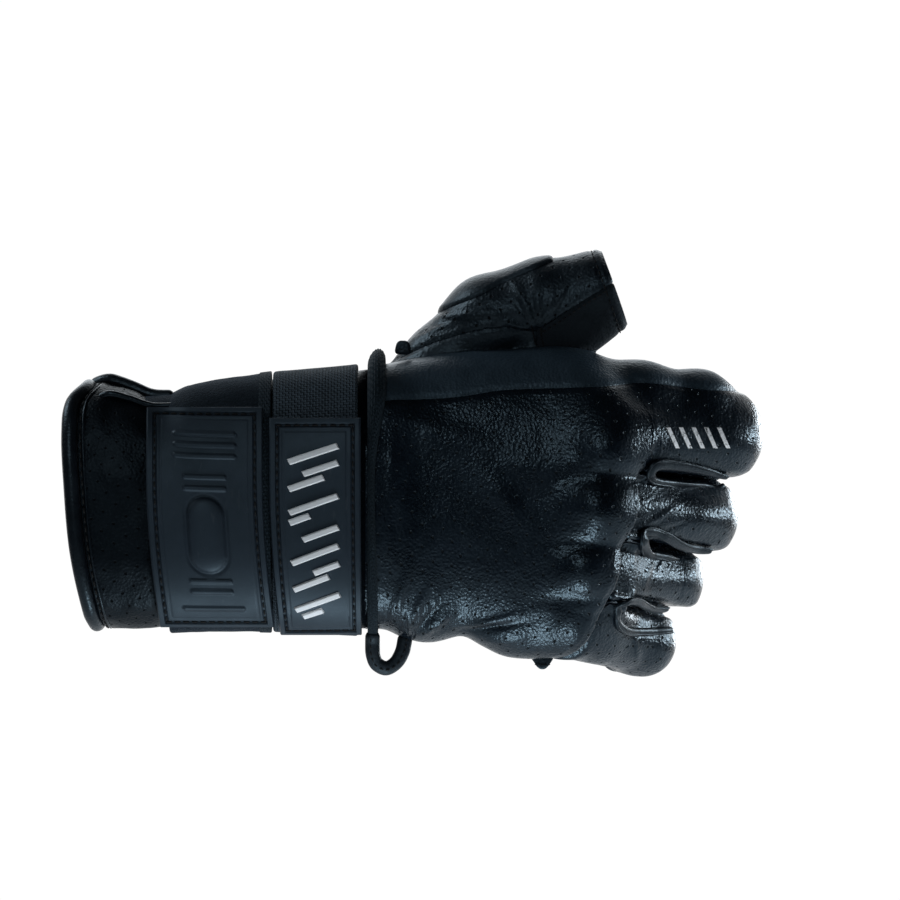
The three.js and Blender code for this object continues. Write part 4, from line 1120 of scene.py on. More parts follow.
def thumb_relief(p, normals):
    facing = np.clip(-normals[:, 1] * FACING, 0, 1)
    x, z = p[:, 0] - TACK["x"], p[:, 2] - TACK["z"]
    away = np.hypot(x, z)
    spokes = np.sin(np.arctan2(z, x) * FAN["spokes"] + FAN["wander"] * noise(p, 6.0))
    share = step_between(0, FAN["near"], away) * (1 - step_between(FAN["full"], FAN["far"], away))
    rough = THUMB_ROUGH["high"] * noise(p * THUMB_ROUGH["stretch"], THUMB_ROUGH["size"])
    return (FAN["high"] * spokes * share + THUMB_ROUGH["folds"] * folded(p, THUMB_FOLDS) + rough) * facing


def add_thumb(whole):
    def upper(p):
        return np.minimum.reduce([thumb_depth(p), -past_thumb_end(p), -thumb_base(p)])

    top = skin(whole, whole_field, upper)
    p, normals = top[0], top[2]
    seam = np.abs(thumb_base(p))
    height = groove(seam) + groove(thumb_depth(p)) + hem(past_thumb_end(p)) + uneven(p)
    height += thumb_relief(p, normals)
    wrinkles = THUMB_WRINKLES
    near_seam = bell(seam, wrinkles["wide"]) * np.clip(-normals[:, 1] * 2, 0, 1)
    near_seam *= step_between(wrinkles["from"], wrinkles["to"], p[:, 0])
    crease = wrinkles["least"] + wrinkles["seam"] * near_seam
    add_leather("thumb_top_leather", top, height, crease, THUMB_LEATHER, "perforated_leather", "thumb_top")

    def strip(p, side):
        split = side * (p[:, 0] - THUMB_SPLIT_X)
        return np.minimum.reduce([thumb_depth(p), -past_thumb_end(p), thumb_base(p), split])

    for name, side, material, slot in (
        ("thumb_root", -1, SMOOTH, "smooth_leather"),
        ("thumb_underside", 1, SUEDE, "suede_leather"),
    ):
        part = skin(whole, whole_field, lambda p: strip(p, side))
        p = part[0]
        ends = groove(p[:, 0] - THUMB_SPLIT_X) + groove(thumb_depth(p)) + groove(thumb_base(p))
        height = ends + hem(past_thumb_end(p)) + 0.5 * uneven(p)
        add_leather(f"{name}_leather", part, height, WRINKLES["thumb_strip"], material, slot, name)

    def guard(p):
        middle_y, middle_z = (smooth(THUMB, "x", c, p[:, 0]) for c in "yz")
        rise = p[:, 2] - smooth(GUARD_EDGE, "x", "z", p[:, 0])
        wrap = (p[:, 2] - middle_z) - GUARD["wrap"] * (p[:, 1] - middle_y)
        ends = (p[:, 0] - GUARD["from"], GUARD["to"] - p[:, 0])
        return np.minimum.reduce([rise, wrap, *ends, thumb_depth(p) - 1])

    part = skin(whole, whole_field, guard)
    p = part[0]
    height = GUARD["high"] * np.sqrt(np.clip(guard(p) / GUARD["edge"], 0.05, 1)) + 0.4 * uneven(p)
    slot, node = "smooth_leather", "thumb_guard"
    add_leather(f"{node}_leather", part, height, WRINKLES["guard"], SMOOTH, slot, node, thick=GUARD["thick"])


add_thumb(add_hand())

# What goes round the wrist. A loop starts at the middle of the palm side and goes by the thumb's edge to
# the back.
CUFF = {"wall": 2.6, "end": 92.6, "binding": 5.0, "under": 31.0, "puff": 0.5, "puff_from": 4.0,
        "puff_long": 24.0, "sewn": 3.4, "sewn_lift": -0.35, "sewn_deep": 0.7, "sewn_wide": 0.7, "leather": 1.1,
        "pile": 1.2, "rows": 56, "bead_at": 4.3, "bead": 0.9, "bead_lift": -0.15}
CRUMPLE = {"high": 0.8, "x": 27.0, "z": 36.0, "long": 4.0, "wide": 2.5, "size": 2.4}
STRAP = {"low": 0.35, "high": 2.35, "corner": 0.9, "edge": (58.6, 62.4), "edge_sunk": 0.5, "edge_high": 0.3,
         "edge_rough": 0.05, "edge_corner": 0.4}
RIM = table("z x", [
    (-38.5, 8.0), (-34.4, 6.3), (-14.0, 2.2), (7.8, 0.3), (23.4, -0.3), (32.8, 0.9), (38.0, 5.5),
])
AROUND = 361
FINE = 1441


def rim_x(z):
    return smooth(RIM, "z", "x", z)


def sleeve_loop(x_of, lift_of=0.0, count=None):
    """Points round the sleeve with outward directions, where x_of gives X from Z."""
    turn = np.linspace(0, 2 * math.pi, FINE)
    c, s = np.cos(turn), np.sin(turn)
    z = np.zeros(FINE)
    for _ in range(4):
        x = np.broadcast_to(x_of(z), FINE)
        section = section_at(x)
        depth = np.where(c < 0, section["back"], section["palm"])
        half = (section["top"] - section["bottom"]) / 2
        power = section["square"]
        y = np.sign(c) * depth * np.abs(c) ** (2 / power)
        rise = np.sign(s) * half * np.abs(s) ** (2 / power)
        z = rise + (section["top"] + section["bottom"]) / 2
    normals = np.stack([
        np.zeros(FINE),
        np.sign(y) * np.abs(y / depth) ** (power - 1) / depth,
        np.sign(rise) * np.abs(rise / half) ** (power - 1) / half,
    ], 1)
    normals = unit(normals)
    points = np.stack([x, y, z], 1)
    lift = lift_of(points) if callable(lift_of) else np.full(FINE, lift_of)
    points = points + normals * lift[:, None]
    if count is None:
        return points, normals
    along = distances_along(points)
    return tuple(at_distances(np.linspace(0, along[-1], count), along, grid) for grid in (points, normals))


def band(rows):
    """A closed shell round the sleeve through rows of (x_of, lift_of), with uv in millimetres."""
    grid = np.stack([sleeve_loop(x_of, lift_of, AROUND)[0] for x_of, lift_of in rows])
    u = np.concatenate([[0], np.cumsum(np.linalg.norm(np.diff(grid, axis=0), axis=2).mean(1))])
    v = np.linspace(0, distances_along(grid[0])[-1], AROUND)
    uv = np.stack(np.meshgrid(u, v, indexing="ij"), -1).reshape(-1, 2)
    return grid.reshape(-1, 3), grid_faces(len(rows), AROUND, len(rows), flip=True), uv


def at_x(x):
    return lambda z: x


def past_rim(away):
    return lambda z: rim_x(z) + away


def add_cuff():
    start = CUFF["binding"] / 2 + 0.2

    def outer_row(share):
        def x_of(z):
            return (rim_x(z) + start) * (1 - share) + CUFF["under"] * share

        def lift_of(p):
            away = p[:, 0] - rim_x(p[:, 2])
            puff = np.sin(np.clip((away - CUFF["puff_from"]) / CUFF["puff_long"], 0, 1) * math.pi)
            lumps = CUFF["puff"] * puff + 0.45 * noise(p, 9.0) + 0.2 * noise(p, 4.0)
            sunk = CUFF["sewn_deep"] * bell(away - CUFF["sewn"], CUFF["sewn_wide"])
            near = bell(p[:, 0] - CRUMPLE["x"], CRUMPLE["long"]) * bell(p[:, 2] - CRUMPLE["z"], CRUMPLE["wide"])
            crumpled = CRUMPLE["high"] * near * noise(p, CRUMPLE["size"])
            return lumps * (1 - step_between(24, CUFF["under"], p[:, 0])) - sunk + crumpled

        return x_of, lift_of

    rows = [outer_row(share) for share in np.linspace(0, 1, CUFF["rows"])]
    rows += [(at_x(x), 0.0) for x in (45, 62, 77, CUFF["end"])]
    rows += [(at_x(x), -CUFF["leather"]) for x in (CUFF["end"], 62, CUFF["under"])]
    rows += [(past_rim(start), -CUFF["leather"])]
    add_piece("cuff_shell", band(rows), CUFF_LEATHER, "cuff_leather", "cuff")
    rows = [(past_rim(start), -CUFF["pile"])]
    rows += [(at_x(x), -CUFF["pile"]) for x in (20, 50, CUFF["end"])]
    padded = np.linspace(CUFF["end"], 12, 24)
    rows += [(at_x(x), lambda p: -CUFF["wall"] + 0.25 * noise(p, 6.0)) for x in padded]
    rows += [(past_rim(start), -CUFF["wall"])]
    add_piece("cuff_lining", band(rows), LINING, "cuff_leather")

    def ring(away, lift, wide, sides):
        path, outward = sleeve_loop(past_rim(away), lift, AROUND)
        return tube(path[:-1], outward[:-1], wide, wide, sides, looped=True)

    rolled = ring(0, lambda p: -CUFF["wall"] / 2 + 0.15 * noise(p, 7.0), CUFF["binding"], 20)
    add_piece("rolled_binding", rolled, BINDING_LEATHER, "binding_leather", "cuff_binding")
    bead = ring(CUFF["bead_at"], CUFF["bead_lift"], CUFF["bead"], 8)
    add_piece("binding_bead", bead, BINDING_LEATHER, "binding_leather")
    sewn = stitches(*sleeve_loop(past_rim(CUFF["sewn"]), CUFF["sewn_lift"], AROUND), "binding")
    add_piece("binding_stitches", sewn, THREAD, "binding_leather")


# The bound edges of the cuff's opening: diameter, places along the arm, and height at the first and last
OPENING_ROLLS = {
    "flap_binding": (4.6, (5.9, 11.6, 18, 25, 32), (38.2, 32.8)),
    "slit_binding": (2.4, (8.6, 12, 18, 25, 32), (34.4, 30.2)),
}
ROLL = {"sunk": 0.62, "proud": 0.6, "last": 0.75, "first": -1.3}


def top_index(x, z):
    """Where a loop round the sleeve at x comes to the height z on the back's side."""
    points, _ = sleeve_loop(at_x(x), 0.0)
    return FINE // 4 + int(np.argmin(np.abs(points[FINE // 4 : FINE // 2, 2] - z)))


def add_opening_rolls():
    for name, (diameter, places, heights) in OPENING_ROLLS.items():
        ends = [top_index(places[k], heights[k]) for k in (0, -1)]
        spots = []
        for x, i in zip(places, np.linspace(*ends, len(places)).astype(int)):
            lift = ROLL["first"] if not spots else diameter * (1 - ROLL["sunk"]) / 2 + ROLL["proud"]
            points, normals = sleeve_loop(at_x(x), lift)
            spots.append((*points[i], *normals[i]))
        line = course(spots, 60)
        girth = diameter * (1 + 0.05 * noise(line[:, :3], 3.0)) * np.linspace(1, ROLL["last"], len(line))
        roll = tube(line[:, :3], line[:, 3:], girth, girth, 18)
        add_piece(f"{name}_roll", roll, BINDING_LEATHER, "binding_leather", name)


STRAP_BANDS = {
    "velour_strap": (30.6, 62.0, "wide_strap", VELOUR, "strap_velour", 0.28),
    "webbing_strap": (62.9, 89.4, "elastic_strap", WEBBING, "elastic_webbing", 0.12),
}


def strap_rows(left, right, low, high, rough, corner):
    """Rows over a strap's outer face with rounded edges, and back along its inner face."""
    edge = corner * (1 - np.cos(np.linspace(0, math.pi / 2, 5)))
    middle = np.linspace(left + corner, right - corner, 26)[1:-1]
    xs = np.concatenate([left + edge, middle, (right - edge)[::-1]])
    rows = []
    for x in xs:
        inset = min(x - left, right - x, corner)
        drop = corner - math.sqrt(max(corner**2 - (corner - inset) ** 2, 0))
        rows.append((at_x(x), lambda p, drop=drop: high - drop + rough * noise(p, 5.0)))
    return rows + [(at_x(right), low), (at_x(left), low)]


def add_straps():
    for name, (left, right, node, material, slot, rough) in STRAP_BANDS.items():
        rows = strap_rows(left, right, STRAP["low"], STRAP["high"], rough, STRAP["corner"])
        add_piece(name, band(rows), material, slot, node)
    low, high = STRAP["high"] - STRAP["edge_sunk"], STRAP["high"] + STRAP["edge_high"]
    rows = strap_rows(*STRAP["edge"], low, high, STRAP["edge_rough"], STRAP["edge_corner"])
    add_piece("strap_edge_binding", band(rows), TAPE_WEAVE, "strap_velour")


# Rubber plates stitched on the straps. Towards the little finger their edges slip towards the hand.
PLATES = {
    "wide_plate": {"left": 23.8, "right": 59.9, "slips": (5.2, 4.6), "top": 30.8, "bottom": -38.2},
    "narrow_plate": {"left": 61.9, "right": 90.4, "slips": (4.0, 0.3), "top": 27.4, "bottom": -40.6},
}
PLATE = {"base": 2.85, "thick": 2.4, "border": 2.0, "channel": 1.0, "sunk": 0.8, "inner": 0.3, "cell": 0.36,
         "across": 40, "down": 120, "wall": 0.16, "line_at": 1.3, "bar_soft": 0.6, "sewn": (0.02, 0.98),
         "sewn_lift": 0.12}
SLIP = {"from": 10.0, "over": 50.0}


class Plate:
    """A plate's foot on its strap, as a grid that can be asked for the point at any place on the plate."""

    def __init__(self, spec):
        self.width = spec["right"] - spec["left"]
        self.across = np.linspace(0, 1, PLATE["across"] + 1)
        self.down = np.linspace(0, 1, PLATE["down"] + 1)
        lift = PLATE["base"] + PLATE["thick"]
        columns = []
        for share in self.across:
            def x_of(z):
                slip = (np.maximum(0, SLIP["from"] - z) / SLIP["over"]) ** 2
                left, right = (spec[side] + by * slip for side, by in zip(("left", "right"), spec["slips"]))
                return left * (1 - share) + right * share

            points, normals = (grid[FINE // 4 : 3 * FINE // 4] for grid in sleeve_loop(x_of))
            raised = points + normals * lift
            along = distances_along(raised)
            first, last = (np.interp(-spec[end], -raised[:, 2], along) for end in ("top", "bottom"))
            self.length = last - first
            even = first + self.length * self.down
            columns.append(at_distances(even, along, np.concatenate([points, normals], 1)))
        self.grid = np.array(columns)

    def at(self, a, b, lift):
        """Points a millimetres across and b down the plate, lift above its strap's leather."""
        i = np.clip(a / self.width * PLATE["across"], 0, PLATE["across"] - 0.001)
        j = np.clip(b / self.length * PLATE["down"], 0, PLATE["down"] - 0.001)
        i0, j0 = i.astype(int), j.astype(int)
        s, t = (i - i0)[..., None], (j - j0)[..., None]
        near, far = (self.grid[i0, k] * (1 - s) + self.grid[i0 + 1, k] * s for k in (j0, j0 + 1))
        spot = near * (1 - t) + far * t
        normal = unit(spot[..., 3:])
        return spot[..., :3] + normal * np.asarray(lift)[..., None], normal

    def slab(self, a, b, top, foot):
        """A closed slab over a grid of places, from foot to top above the strap's leather."""
        outer, inner = (self.at(a, b, lift)[0].reshape(-1, 3) for lift in (top, np.full(a.shape, foot)))
        return thickened(outer, halved(grid_faces(*a.shape, len(a) - 1)), inner)


def rounded(distance, high, soft):
    """The height of a raised form with rounded sides, where distance is negative inside it."""
    t = np.clip(-distance / soft, 0, 1)
    return high * np.sqrt(1 - (1 - t) ** 2)


def bar_distance(a, b, ax, bx, ay, by, radius):
    """The distance from a bar with round ends, from (ax, ay) to (bx, by)."""
    dx, dy = bx - ax, by - ay
    t = np.clip(((a - ax) * dx + (b - ay) * dy) / (dx * dx + dy * dy), 0, 1)
    return np.hypot(a - ax - t * dx, b - ay - t * dy) - radius


# Grip bars across the wide plate: how far down it, and how long
GRIP = {"radius": 0.85, "high": 0.5, "rows": (
    (9.5, 9.0), (13.0, 9.0), (16.5, 9.0), (23.0, 6.0), (26.5, 6.0), (55.5, 6.0), (59.0, 6.0), (65.0, 9.0))}
PILL = {"down": 41.0, "half": 6.0, "radius": 5.6, "high": 1.3, "moat": 0.35, "moat_at": 0.7, "moat_wide": 0.5}


def plate_relief(a, b, plate, gripped):
    edge = np.minimum(np.minimum(a, plate.width - a), np.minimum(b, plate.length - b))
    wall = PLATE["wall"]
    inside = PLATE["border"] + PLATE["channel"]
    sunk = step_between(PLATE["border"] - wall, PLATE["border"] + wall, edge) * PLATE["sunk"]
    sunk -= step_between(inside - wall, inside + wall, edge) * (PLATE["sunk"] - PLATE["inner"])
    height = -sunk - (PLATE["border"] / 4 - rounded(-edge, PLATE["border"] / 4, PLATE["border"] / 4))
    height -= wall * bell(edge - inside - PLATE["line_at"], wall)
    if gripped:
        middle = plate.width / 2
        for down, half in GRIP["rows"]:
            bar = bar_distance(a, b, middle - half, middle + half, down, down, GRIP["radius"])
            height += rounded(bar, GRIP["high"], PLATE["bar_soft"])
        top, bottom = PILL["down"] - PILL["half"], PILL["down"] + PILL["half"]
        pill = bar_distance(a, b, middle, middle, top, bottom, PILL["radius"])
        moat = PILL["moat"] * bell(pill - PILL["moat_at"], PILL["moat_wide"])
        height += rounded(pill, PILL["high"], PILL["radius"]) - moat
    return height


def add_plate(node, gripped):
    plate = Plate(PLATES[node])
    rows, columns = (int(size / PLATE["cell"]) + 1 for size in (plate.width, plate.length))
    places = (np.linspace(0, plate.width, rows), np.linspace(0, plate.length, columns))
    a, b = np.meshgrid(*places, indexing="ij")
    above = PLATE["base"] + PLATE["thick"]
    slab = plate.slab(a, b, above + plate_relief(a, b, plate, gripped), PLATE["base"])
    add_piece(f"{node}_rubber", slab, RUBBER, "moulded_rubber", node, sharp=50)
    line = PLATE["border"] + PLATE["channel"] / 2
    left, right, first, last = line, plate.width - line, line, plate.length - line
    corners = [(left, first), (right, first), (right, last), (left, last), (left, first)]
    parts = []
    for (a0, b0), (a1, b1) in zip(corners, corners[1:]):
        share = np.linspace(*PLATE["sewn"], 60)
        lift = np.full(60, above - PLATE["sunk"] + PLATE["sewn_lift"])
        sewn = plate.at(a0 + (a1 - a0) * share, b0 + (b1 - b0) * share, lift)
        parts.append(stitches(*sewn, "plate"))
    add_piece(f"{node}_stitches", merged(parts), THREAD, "moulded_rubber")
    return plate


# Slanted bars down the narrow plate: how far down it, where each starts and ends across it
BARS = {"slant": -0.32, "radius": 0.95, "high": 0.7, "ends": 0.5, "sunk": 0.1, "foot": 0.3, "soft": 0.35,
        "rows": (
    (11.5, 6.0, 21.5), (16.0, 10.5, 21.5), (20.5, 6.0, 17.0), (27.0, 6.0, 21.5), (31.5, 6.0, 12.5),
    (36.0, 10.0, 21.5), (42.5, 6.0, 21.5), (47.0, 13.0, 21.5), (51.5, 6.0, 18.0), (58.0, 6.0, 21.5),
    (62.0, 8.5, 15.5))}


def add_bars(plate):
    parts = []
    above = PLATE["base"] + PLATE["thick"] - PLATE["inner"]
    radius = BARS["radius"]
    for down, left, right in BARS["rows"]:
        middle = (left + right) / 2
        places = (np.linspace(left, right, 42), np.linspace(-radius, radius, 11))
        long, wide = np.meshgrid(*places, indexing="ij")
        a = long + wide * BARS["ends"]
        b = down + wide + (long - middle) * BARS["slant"]
        edge = np.minimum(radius - np.abs(wide), np.minimum(long - left, right - long))
        top = above - BARS["sunk"] + rounded(-edge, BARS["high"] + BARS["sunk"], BARS["soft"])
        parts.append(plate.slab(a, b, top, above - BARS["foot"]))
    add_piece("plate_bars", merged(parts), WHITE_RUBBER, "moulded_rubber", sharp=60)


add_cuff()
add_opening_rolls()
add_straps()
add_plate("wide_plate", True)
add_bars(add_plate("narrow_plate", False))

# The ribbed tape round the wrist, arched and widest at the thumb side
TAPE = table("z right rise", [
    (-42, 95.6, 0.4),
    (-24, 95.6, 1.0),
    (-11, 95.0, 1.4),
    (11, 94.8, 1.4),
    (25, 96.6, 2.0),
    (33, 98.0, 3.0),
    (44, 98.0, 4.0),
])
TAPE_SHAPE = {"left": 92.4, "clear": 0.7, "thick": 0.9, "rib": 0.12, "ribs": 7}
PULL_LOOP = [
    (94.0, -7.5, -39.2),
    (93.9, -6, -43.0),
    (94.1, -6, -46.9),
    (95.3, -5.5, -49.6),
    (98.2, -5, -50.9),
    (101.2, -4, -49.2),
    (103.1, -3, -46.0),
    (103.8, -2, -43.2),
    (104.2, -1, -40.0),
]
PULL_CORD = {"thick": 4.6, "flat": 0.92, "rows": 90, "seam_out": 0.44, "seam_side": 0.55, "sewn": slice(8, -8)}
TABS = {
    "thumb_tab": {"size": (4.8, 2.0, 4.4), "at": (103.4, -1.0, 49.2), "narrow": 0.2},
    "edge_tab": {"size": (5.4, 1.8, 4.4), "at": (147.0, 2.0, -49.2), "narrow": -0.55},
}


def add_tape():
    shape = TAPE_SHAPE

    def row(share, height):
        def x_of(z):
            return shape["left"] + (smooth(TAPE, "z", "right", z) - shape["left"]) * share

        def lift_of(p):
            arch = smooth(TAPE, "z", "rise", p[:, 2]) * math.sqrt(max(math.sin(math.pi * share), 0))
            rib = shape["rib"] * math.cos(2 * math.pi * shape["ribs"] * share)
            return shape["clear"] + height * (shape["thick"] + arch + rib)

        return x_of, lift_of

    rows = [row(share, 1) for share in np.linspace(0, 1, 43)] + [row(1, 0), row(0, 0)]
    add_piece("wrist_tape_weave", band(rows), TAPE_WEAVE, "elastic_webbing", "wrist_tape")


def add_pull_loop():
    path = course(PULL_LOOP, PULL_CORD["rows"])
    outward = np.tile((0.0, -1.0, 0.0), (len(path), 1))
    wide = PULL_CORD["thick"] * (1 + 0.04 * noise(path, 2.5))
    cord = tube(path, outward, wide, PULL_CORD["flat"] * wide, 20)
    add_piece("loop_cord", cord, LOOP_LEATHER, "binding_leather", "pull_loop")
    _, out, side = frames(path, outward)
    seam = path + out * PULL_CORD["thick"] * PULL_CORD["seam_out"] + side * PULL_CORD["seam_side"]
    sewn = stitches(seam[PULL_CORD["sewn"]], out[PULL_CORD["sewn"]], "loop")
    add_piece("loop_stitches", sewn, THREAD, "binding_leather")


# A tab is a block with soft edges: its sides nearly square, its faces slightly crowned
TAB_FORM = {"side": 0.4, "corner": 0.6, "crown": 0.55, "around": 49, "up": 25, "seam_in": 0.6, "seam_down": 0.7}


def add_tabs():
    rows, columns = TAB_FORM["up"], TAB_FORM["around"]
    turns = (np.linspace(0, 2 * math.pi, columns), np.linspace(-math.pi / 2, math.pi / 2, rows))
    around, up = np.meshgrid(*turns)

    def power(value, n):
        return np.sign(value) * np.abs(value) ** n

    for name, tab in TABS.items():
        side = power(np.cos(up), TAB_FORM["side"])
        x = side * power(np.cos(around), TAB_FORM["corner"])
        z = side * power(np.sin(around), TAB_FORM["corner"])
        x = x * (1 - tab["narrow"] * z)
        y = power(np.sin(up), TAB_FORM["crown"])
        points = np.stack([x, y, z], -1).reshape(-1, 3) * np.array(tab["size"]) / 2 + np.array(tab["at"])
        points = points + 0.08 * noise(points, 1.6)[:, None]
        block = (points, grid_faces(rows, columns, rows - 1, flip=True))
        add_piece(f"{name}_leather", block, SMOOTH, "smooth_leather", name)
        front = tab["at"][1] - tab["size"][1] / 2
        half = tab["size"][0] / 2 - TAB_FORM["seam_in"]
        line = np.stack([np.linspace(-half, half, 20), np.zeros(20), np.zeros(20)], 1)
        line += (tab["at"][0], front, tab["at"][2] - TAB_FORM["seam_down"])
        sewn = stitches(line, np.tile((0.0, -1.0, 0.0), (len(line), 1)), "tab")
        add_piece(f"{name}_stitches", sewn, THREAD, "smooth_leather")


# Welts round the slits between the fingers, drawn on the back view: middle line and width
SLITS = {
    "index_middle_piping": table("x z wide", [
        (204.8, 9.4, 1.5),
        (202.0, 10.1, 2.1),
        (196.3, 11.3, 2.6),
        (190.3, 12.2, 3.1),
        (185.0, 12.8, 3.4),
        (182.0, 12.2, 3.3),
        (180.6, 9.9, 2.9),
        (182.0, 7.7, 2.2),
        (185.6, 7.1, 1.9),
        (190.0, 7.2, 1.9),
        (196.3, 6.9, 2.0),
        (200.9, 6.2, 2.0),
        (203.4, 5.6, 1.5),
    ]),
    "middle_ring_piping": table("x z wide", [
        (199.4, -13.4, 1.8),
        (197.6, -13.2, 2.5),
        (195.6, -13.0, 2.8),
        (192.0, -12.6, 2.8),
        (188.7, -11.5, 2.9),
        (185.6, -9.9, 2.9),
        (182.8, -8.7, 2.6),
        (180.6, -8.5, 2.8),
        (179.1, -10.0, 3.2),
        (178.6, -12.2, 3.2),
        (179.4, -14.4, 2.8),
        (181.5, -15.6, 2.4),
        (184.4, -15.9, 2.3),
        (187.8, -16.1, 2.3),
        (191.6, -16.3, 2.3),
        (195.0, -16.4, 2.0),
    ]),
    "ring_little_piping": table("x z wide", [
        (185.6, -31.5, 1.8),
        (183.8, -31.8, 2.3),
        (181.0, -31.6, 2.5),
        (178.0, -30.6, 2.4),
        (175.3, -29.7, 2.2),
        (173.0, -30.5, 2.2),
        (171.4, -32.6, 2.3),
        (170.6, -35.2, 2.3),
        (170.8, -37.6, 2.3),
        (172.6, -39.1, 2.2),
        (176.0, -39.5, 2.1),
        (180.6, -39.7, 2.1),
        (185.9, -39.7, 1.8),
    ]),
}
WELT = {"high": 1.7, "lift": 0.45, "wider": 1.15, "front": -40.0, "last": 25.0, "step": 0.5, "looks": 110,
        "rows": 150}
RIDGE = {"inward": 0.4, "wide": 0.7, "lift": 0.45}


def landed(x, z, field):
    """Points where rays from in front of the back of the hand meet a field, or pass nearest to it."""
    depths = np.arange(WELT["front"], WELT["last"], WELT["step"])
    values = np.stack([field(np.stack([x, np.full(len(x), y), z], 1)) for y in depths], 1)
    meets = (values < 0).any(1)
    first = np.where(meets, np.argmax(values < 0, 1), np.argmin(values, 1))
    p = np.stack([x, depths[first], z], 1)
    for _ in range(8):
        p[:, 1] += np.where(meets, np.clip(field(p), -1, 1) * 0.6, 0)
    return p


def add_slit_welts():
    for i, (name, rows) in enumerate(SLITS.items()):
        line = course(np.stack([rows["x"], rows["z"], rows["wide"]], 1), WELT["looks"])
        path = landed(line[:, 0], line[:, 1], pressed_field)
        _, outward = settle(path, pressed_field)
        upper, lower = (finger_height(path, outward, finger) for finger in FINGERS[i : i + 2])
        share = step_between(-1, 1, above_parting(path, i))
        path = path + outward * (upper * share + lower * (1 - share) + WELT["lift"])[:, None]
        path = course(np.concatenate([path, outward, line[:, 2:] * WELT["wider"]], 1)[::3], WELT["rows"])
        line, outward, wide = path[:, :3], path[:, 3:6], path[:, 6]
        welt = tube(line, outward, wide, WELT["high"], 16)
        _, up, side = frames(line, outward)
        inner = line + side * (wide * RIDGE["inward"])[:, None] + up * RIDGE["lift"]
        ridge = tube(inner, outward, RIDGE["wide"], RIDGE["wide"], 8)
        add_piece(f"{name}_welt", merged([welt[:2], ridge[:2]]), BINDING_LEATHER, "binding_leather", name)


def cut_ring(field, centre, axis, reach, count=120):
    """Points where rays in a plane leave a form, with the way out."""
    up = unit(np.array((0.0, 0.0, 1.0)) - axis * axis[2])
    side = np.cross(axis, up)
    turn = np.linspace(0, 2 * math.pi, count)
    rays = np.cos(turn)[:, None] * up + np.sin(turn)[:, None] * side
    far = np.linspace(0, reach, 80)
    values = np.stack([field(centre + rays * r) for r in far], 1)
    leaves = np.argmax(values > 0, 1)
    rows = np.arange(count)
    low, high = values[rows, leaves - 1], values[rows, leaves]
    distance = far[leaves - 1] + (far[leaves] - far[leaves - 1]) * low / (low - high)
    return centre + rays * distance[:, None], rays


def add_hem_stitches():
    ends = {}
    for name in FINGERS:
        bend, end = (row_point(DIGITS[name], i) for i in (1, 2))
        ends[name] = (finger_field(name), end, unit(end - bend))
    ends["thumb"] = (thumb_field, THUMB_END["at"], THUMB_END["normal"])
    for name, (field, end, axis) in ends.items():
        path, outward = cut_ring(field, end - axis * HEM["line"], axis, HEM["reach"])
        sewn = stitches(path - outward * HEM["sunk"], outward, "hem")
        add_piece(f"{name}_hem_stitches", sewn, THREAD, "perforated_leather")


# Rows of stitches below the thumb's seam and in its bar-tack
THUMB_STITCHES = (
    ("thumb", [(147.5, 54.9), (152.0, 57.6), (157.0, 61.0), (162.0, 64.2), (166.5, 67.0)]),
    ("tack", [(143.6, 56.4), (144.8, 51.0)]),
    ("tack", [(146.4, 55.6), (147.2, 50.6)]),
)


def add_thumb_stitches():
    parts = []
    for seam, rows in THUMB_STITCHES:
        line = course(rows, 40)
        path = landed(line[:, 0], line[:, 1] - 0.5, whole_field)
        _, outward = settle(path, whole_field)
        parts.append(stitches(path + outward * 0.05, outward, seam))
    add_piece("thumb_seam_stitches", merged(parts), THREAD, "smooth_leather")


add_tape()
add_pull_loop()
add_tabs()
add_slit_welts()
add_hem_stitches()
add_thumb_stitches()

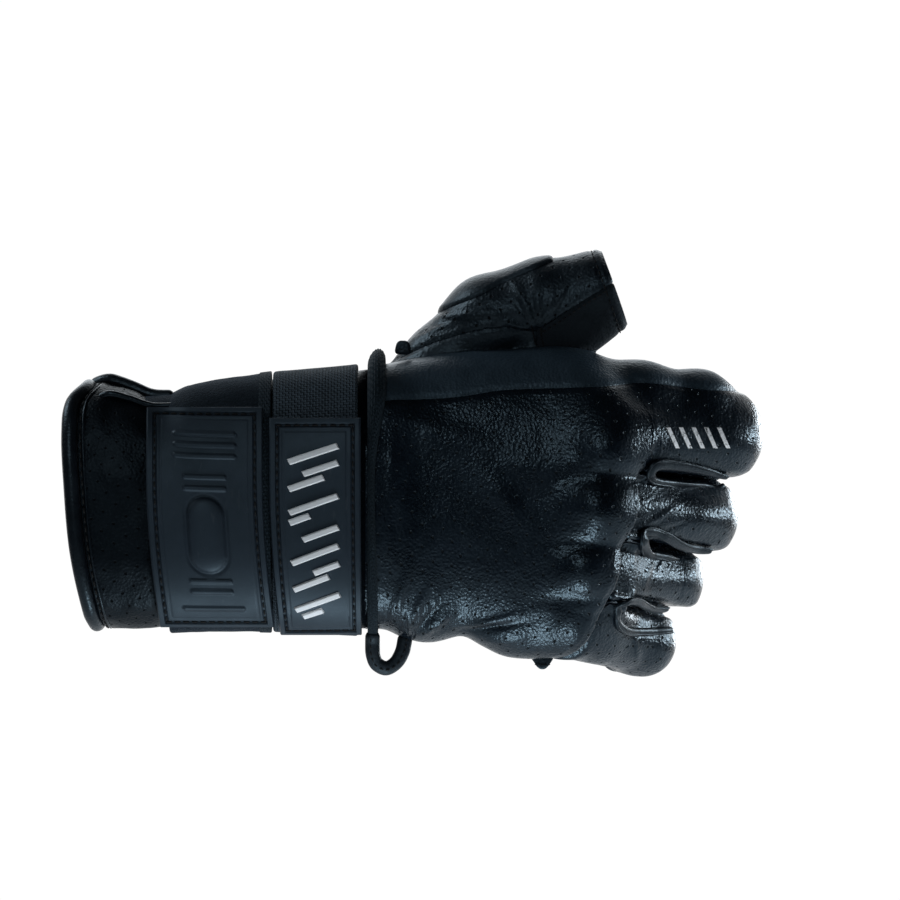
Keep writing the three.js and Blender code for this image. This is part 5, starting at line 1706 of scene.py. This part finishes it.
# The stage: pale floor, white surroundings brightest behind the glove, and soft lights
FLOOR = {"z": -300.0, "radius": 900.0, "sides": 96}
WORLD = {"From Min": 0.3, "From Max": 0.95, "To Min": 0.012, "To Max": 1.02}
LAMP_TINT = (0.86, 0.94, 1.0)
LAMPS = {
    "key": {"at": (-60, -900, 350), "size": 120, "power": 0.85},
    "right": {"at": (960, 210, 100), "size": 120, "power": 3.6},
    "rim": {"at": (640, 740, 90), "size": 300, "power": 3.0},
    "under": {"at": (118, -135, -285), "size": 80, "power": 0.42},
    "left": {"at": (-520, 60, 560), "size": 330, "power": 2.3},
    "behind": {"at": (60, 800, 500), "size": 700, "power": 2.0},
}
AIM = np.array((118.0, 0.0, 10.0))


def add_stage():
    turn = np.linspace(0, 2 * math.pi, FLOOR["sides"], endpoint=False)
    x, y = AIM[0] + FLOOR["radius"] * np.cos(turn), FLOOR["radius"] * np.sin(turn)
    rim = np.stack([x, y, np.full(len(turn), FLOOR["z"])], 1)
    paint = Paint("pale_floor")
    cloudy = paint.grain(paint.place(), 300.0)
    colour = paint.mix(cloudy, (0.78, 0.78, 0.79), (0.83, 0.83, 0.83))
    material = paint.finish(colour, paint.span(cloudy, 0, 1, 0.6, 0.7), cloudy)
    floor = add_object("floor", (rim, [list(range(len(rim)))]), material)
    world = bpy.data.worlds.new("surroundings")
    bpy.context.scene.world = world
    bpy.context.scene.view_settings.view_transform = "Standard"
    world.use_nodes = True
    tree = world.node_tree
    spot = tree.nodes.new("ShaderNodeTexCoord")
    split = tree.nodes.new("ShaderNodeSeparateXYZ")
    span = tree.nodes.new("ShaderNodeMapRange")
    span.interpolation_type = "SMOOTHSTEP"
    tree.links.new(spot.outputs["Generated"], split.inputs[0])
    tree.links.new(split.outputs[1], span.inputs["Value"])
    for name, value in WORLD.items():
        span.inputs[name].default_value = value
    tree.links.new(span.outputs["Result"], tree.nodes["Background"].inputs["Strength"])
    tree.nodes["Background"].inputs["Color"].default_value = (1, 1, 1, 1)
    for name, lamp in LAMPS.items():
        light = bpy.data.lights.new(name, "AREA")
        light.size = lamp["size"] * MM
        light.energy = lamp["power"]
        light.color = LAMP_TINT
        holder = bpy.data.objects.new(name, light)
        at = np.array(lamp["at"], float)
        holder.location = at * MM
        holder.rotation_euler = look_angles(AIM - at)
        bpy.context.scene.collection.objects.link(holder)


def look_angles(direction):
    """The turns that point a lamp along a direction."""
    x, y, z = unit(direction)
    return (math.acos(-z), 0.0, math.atan2(y, x) - math.pi / 2)


add_stage()
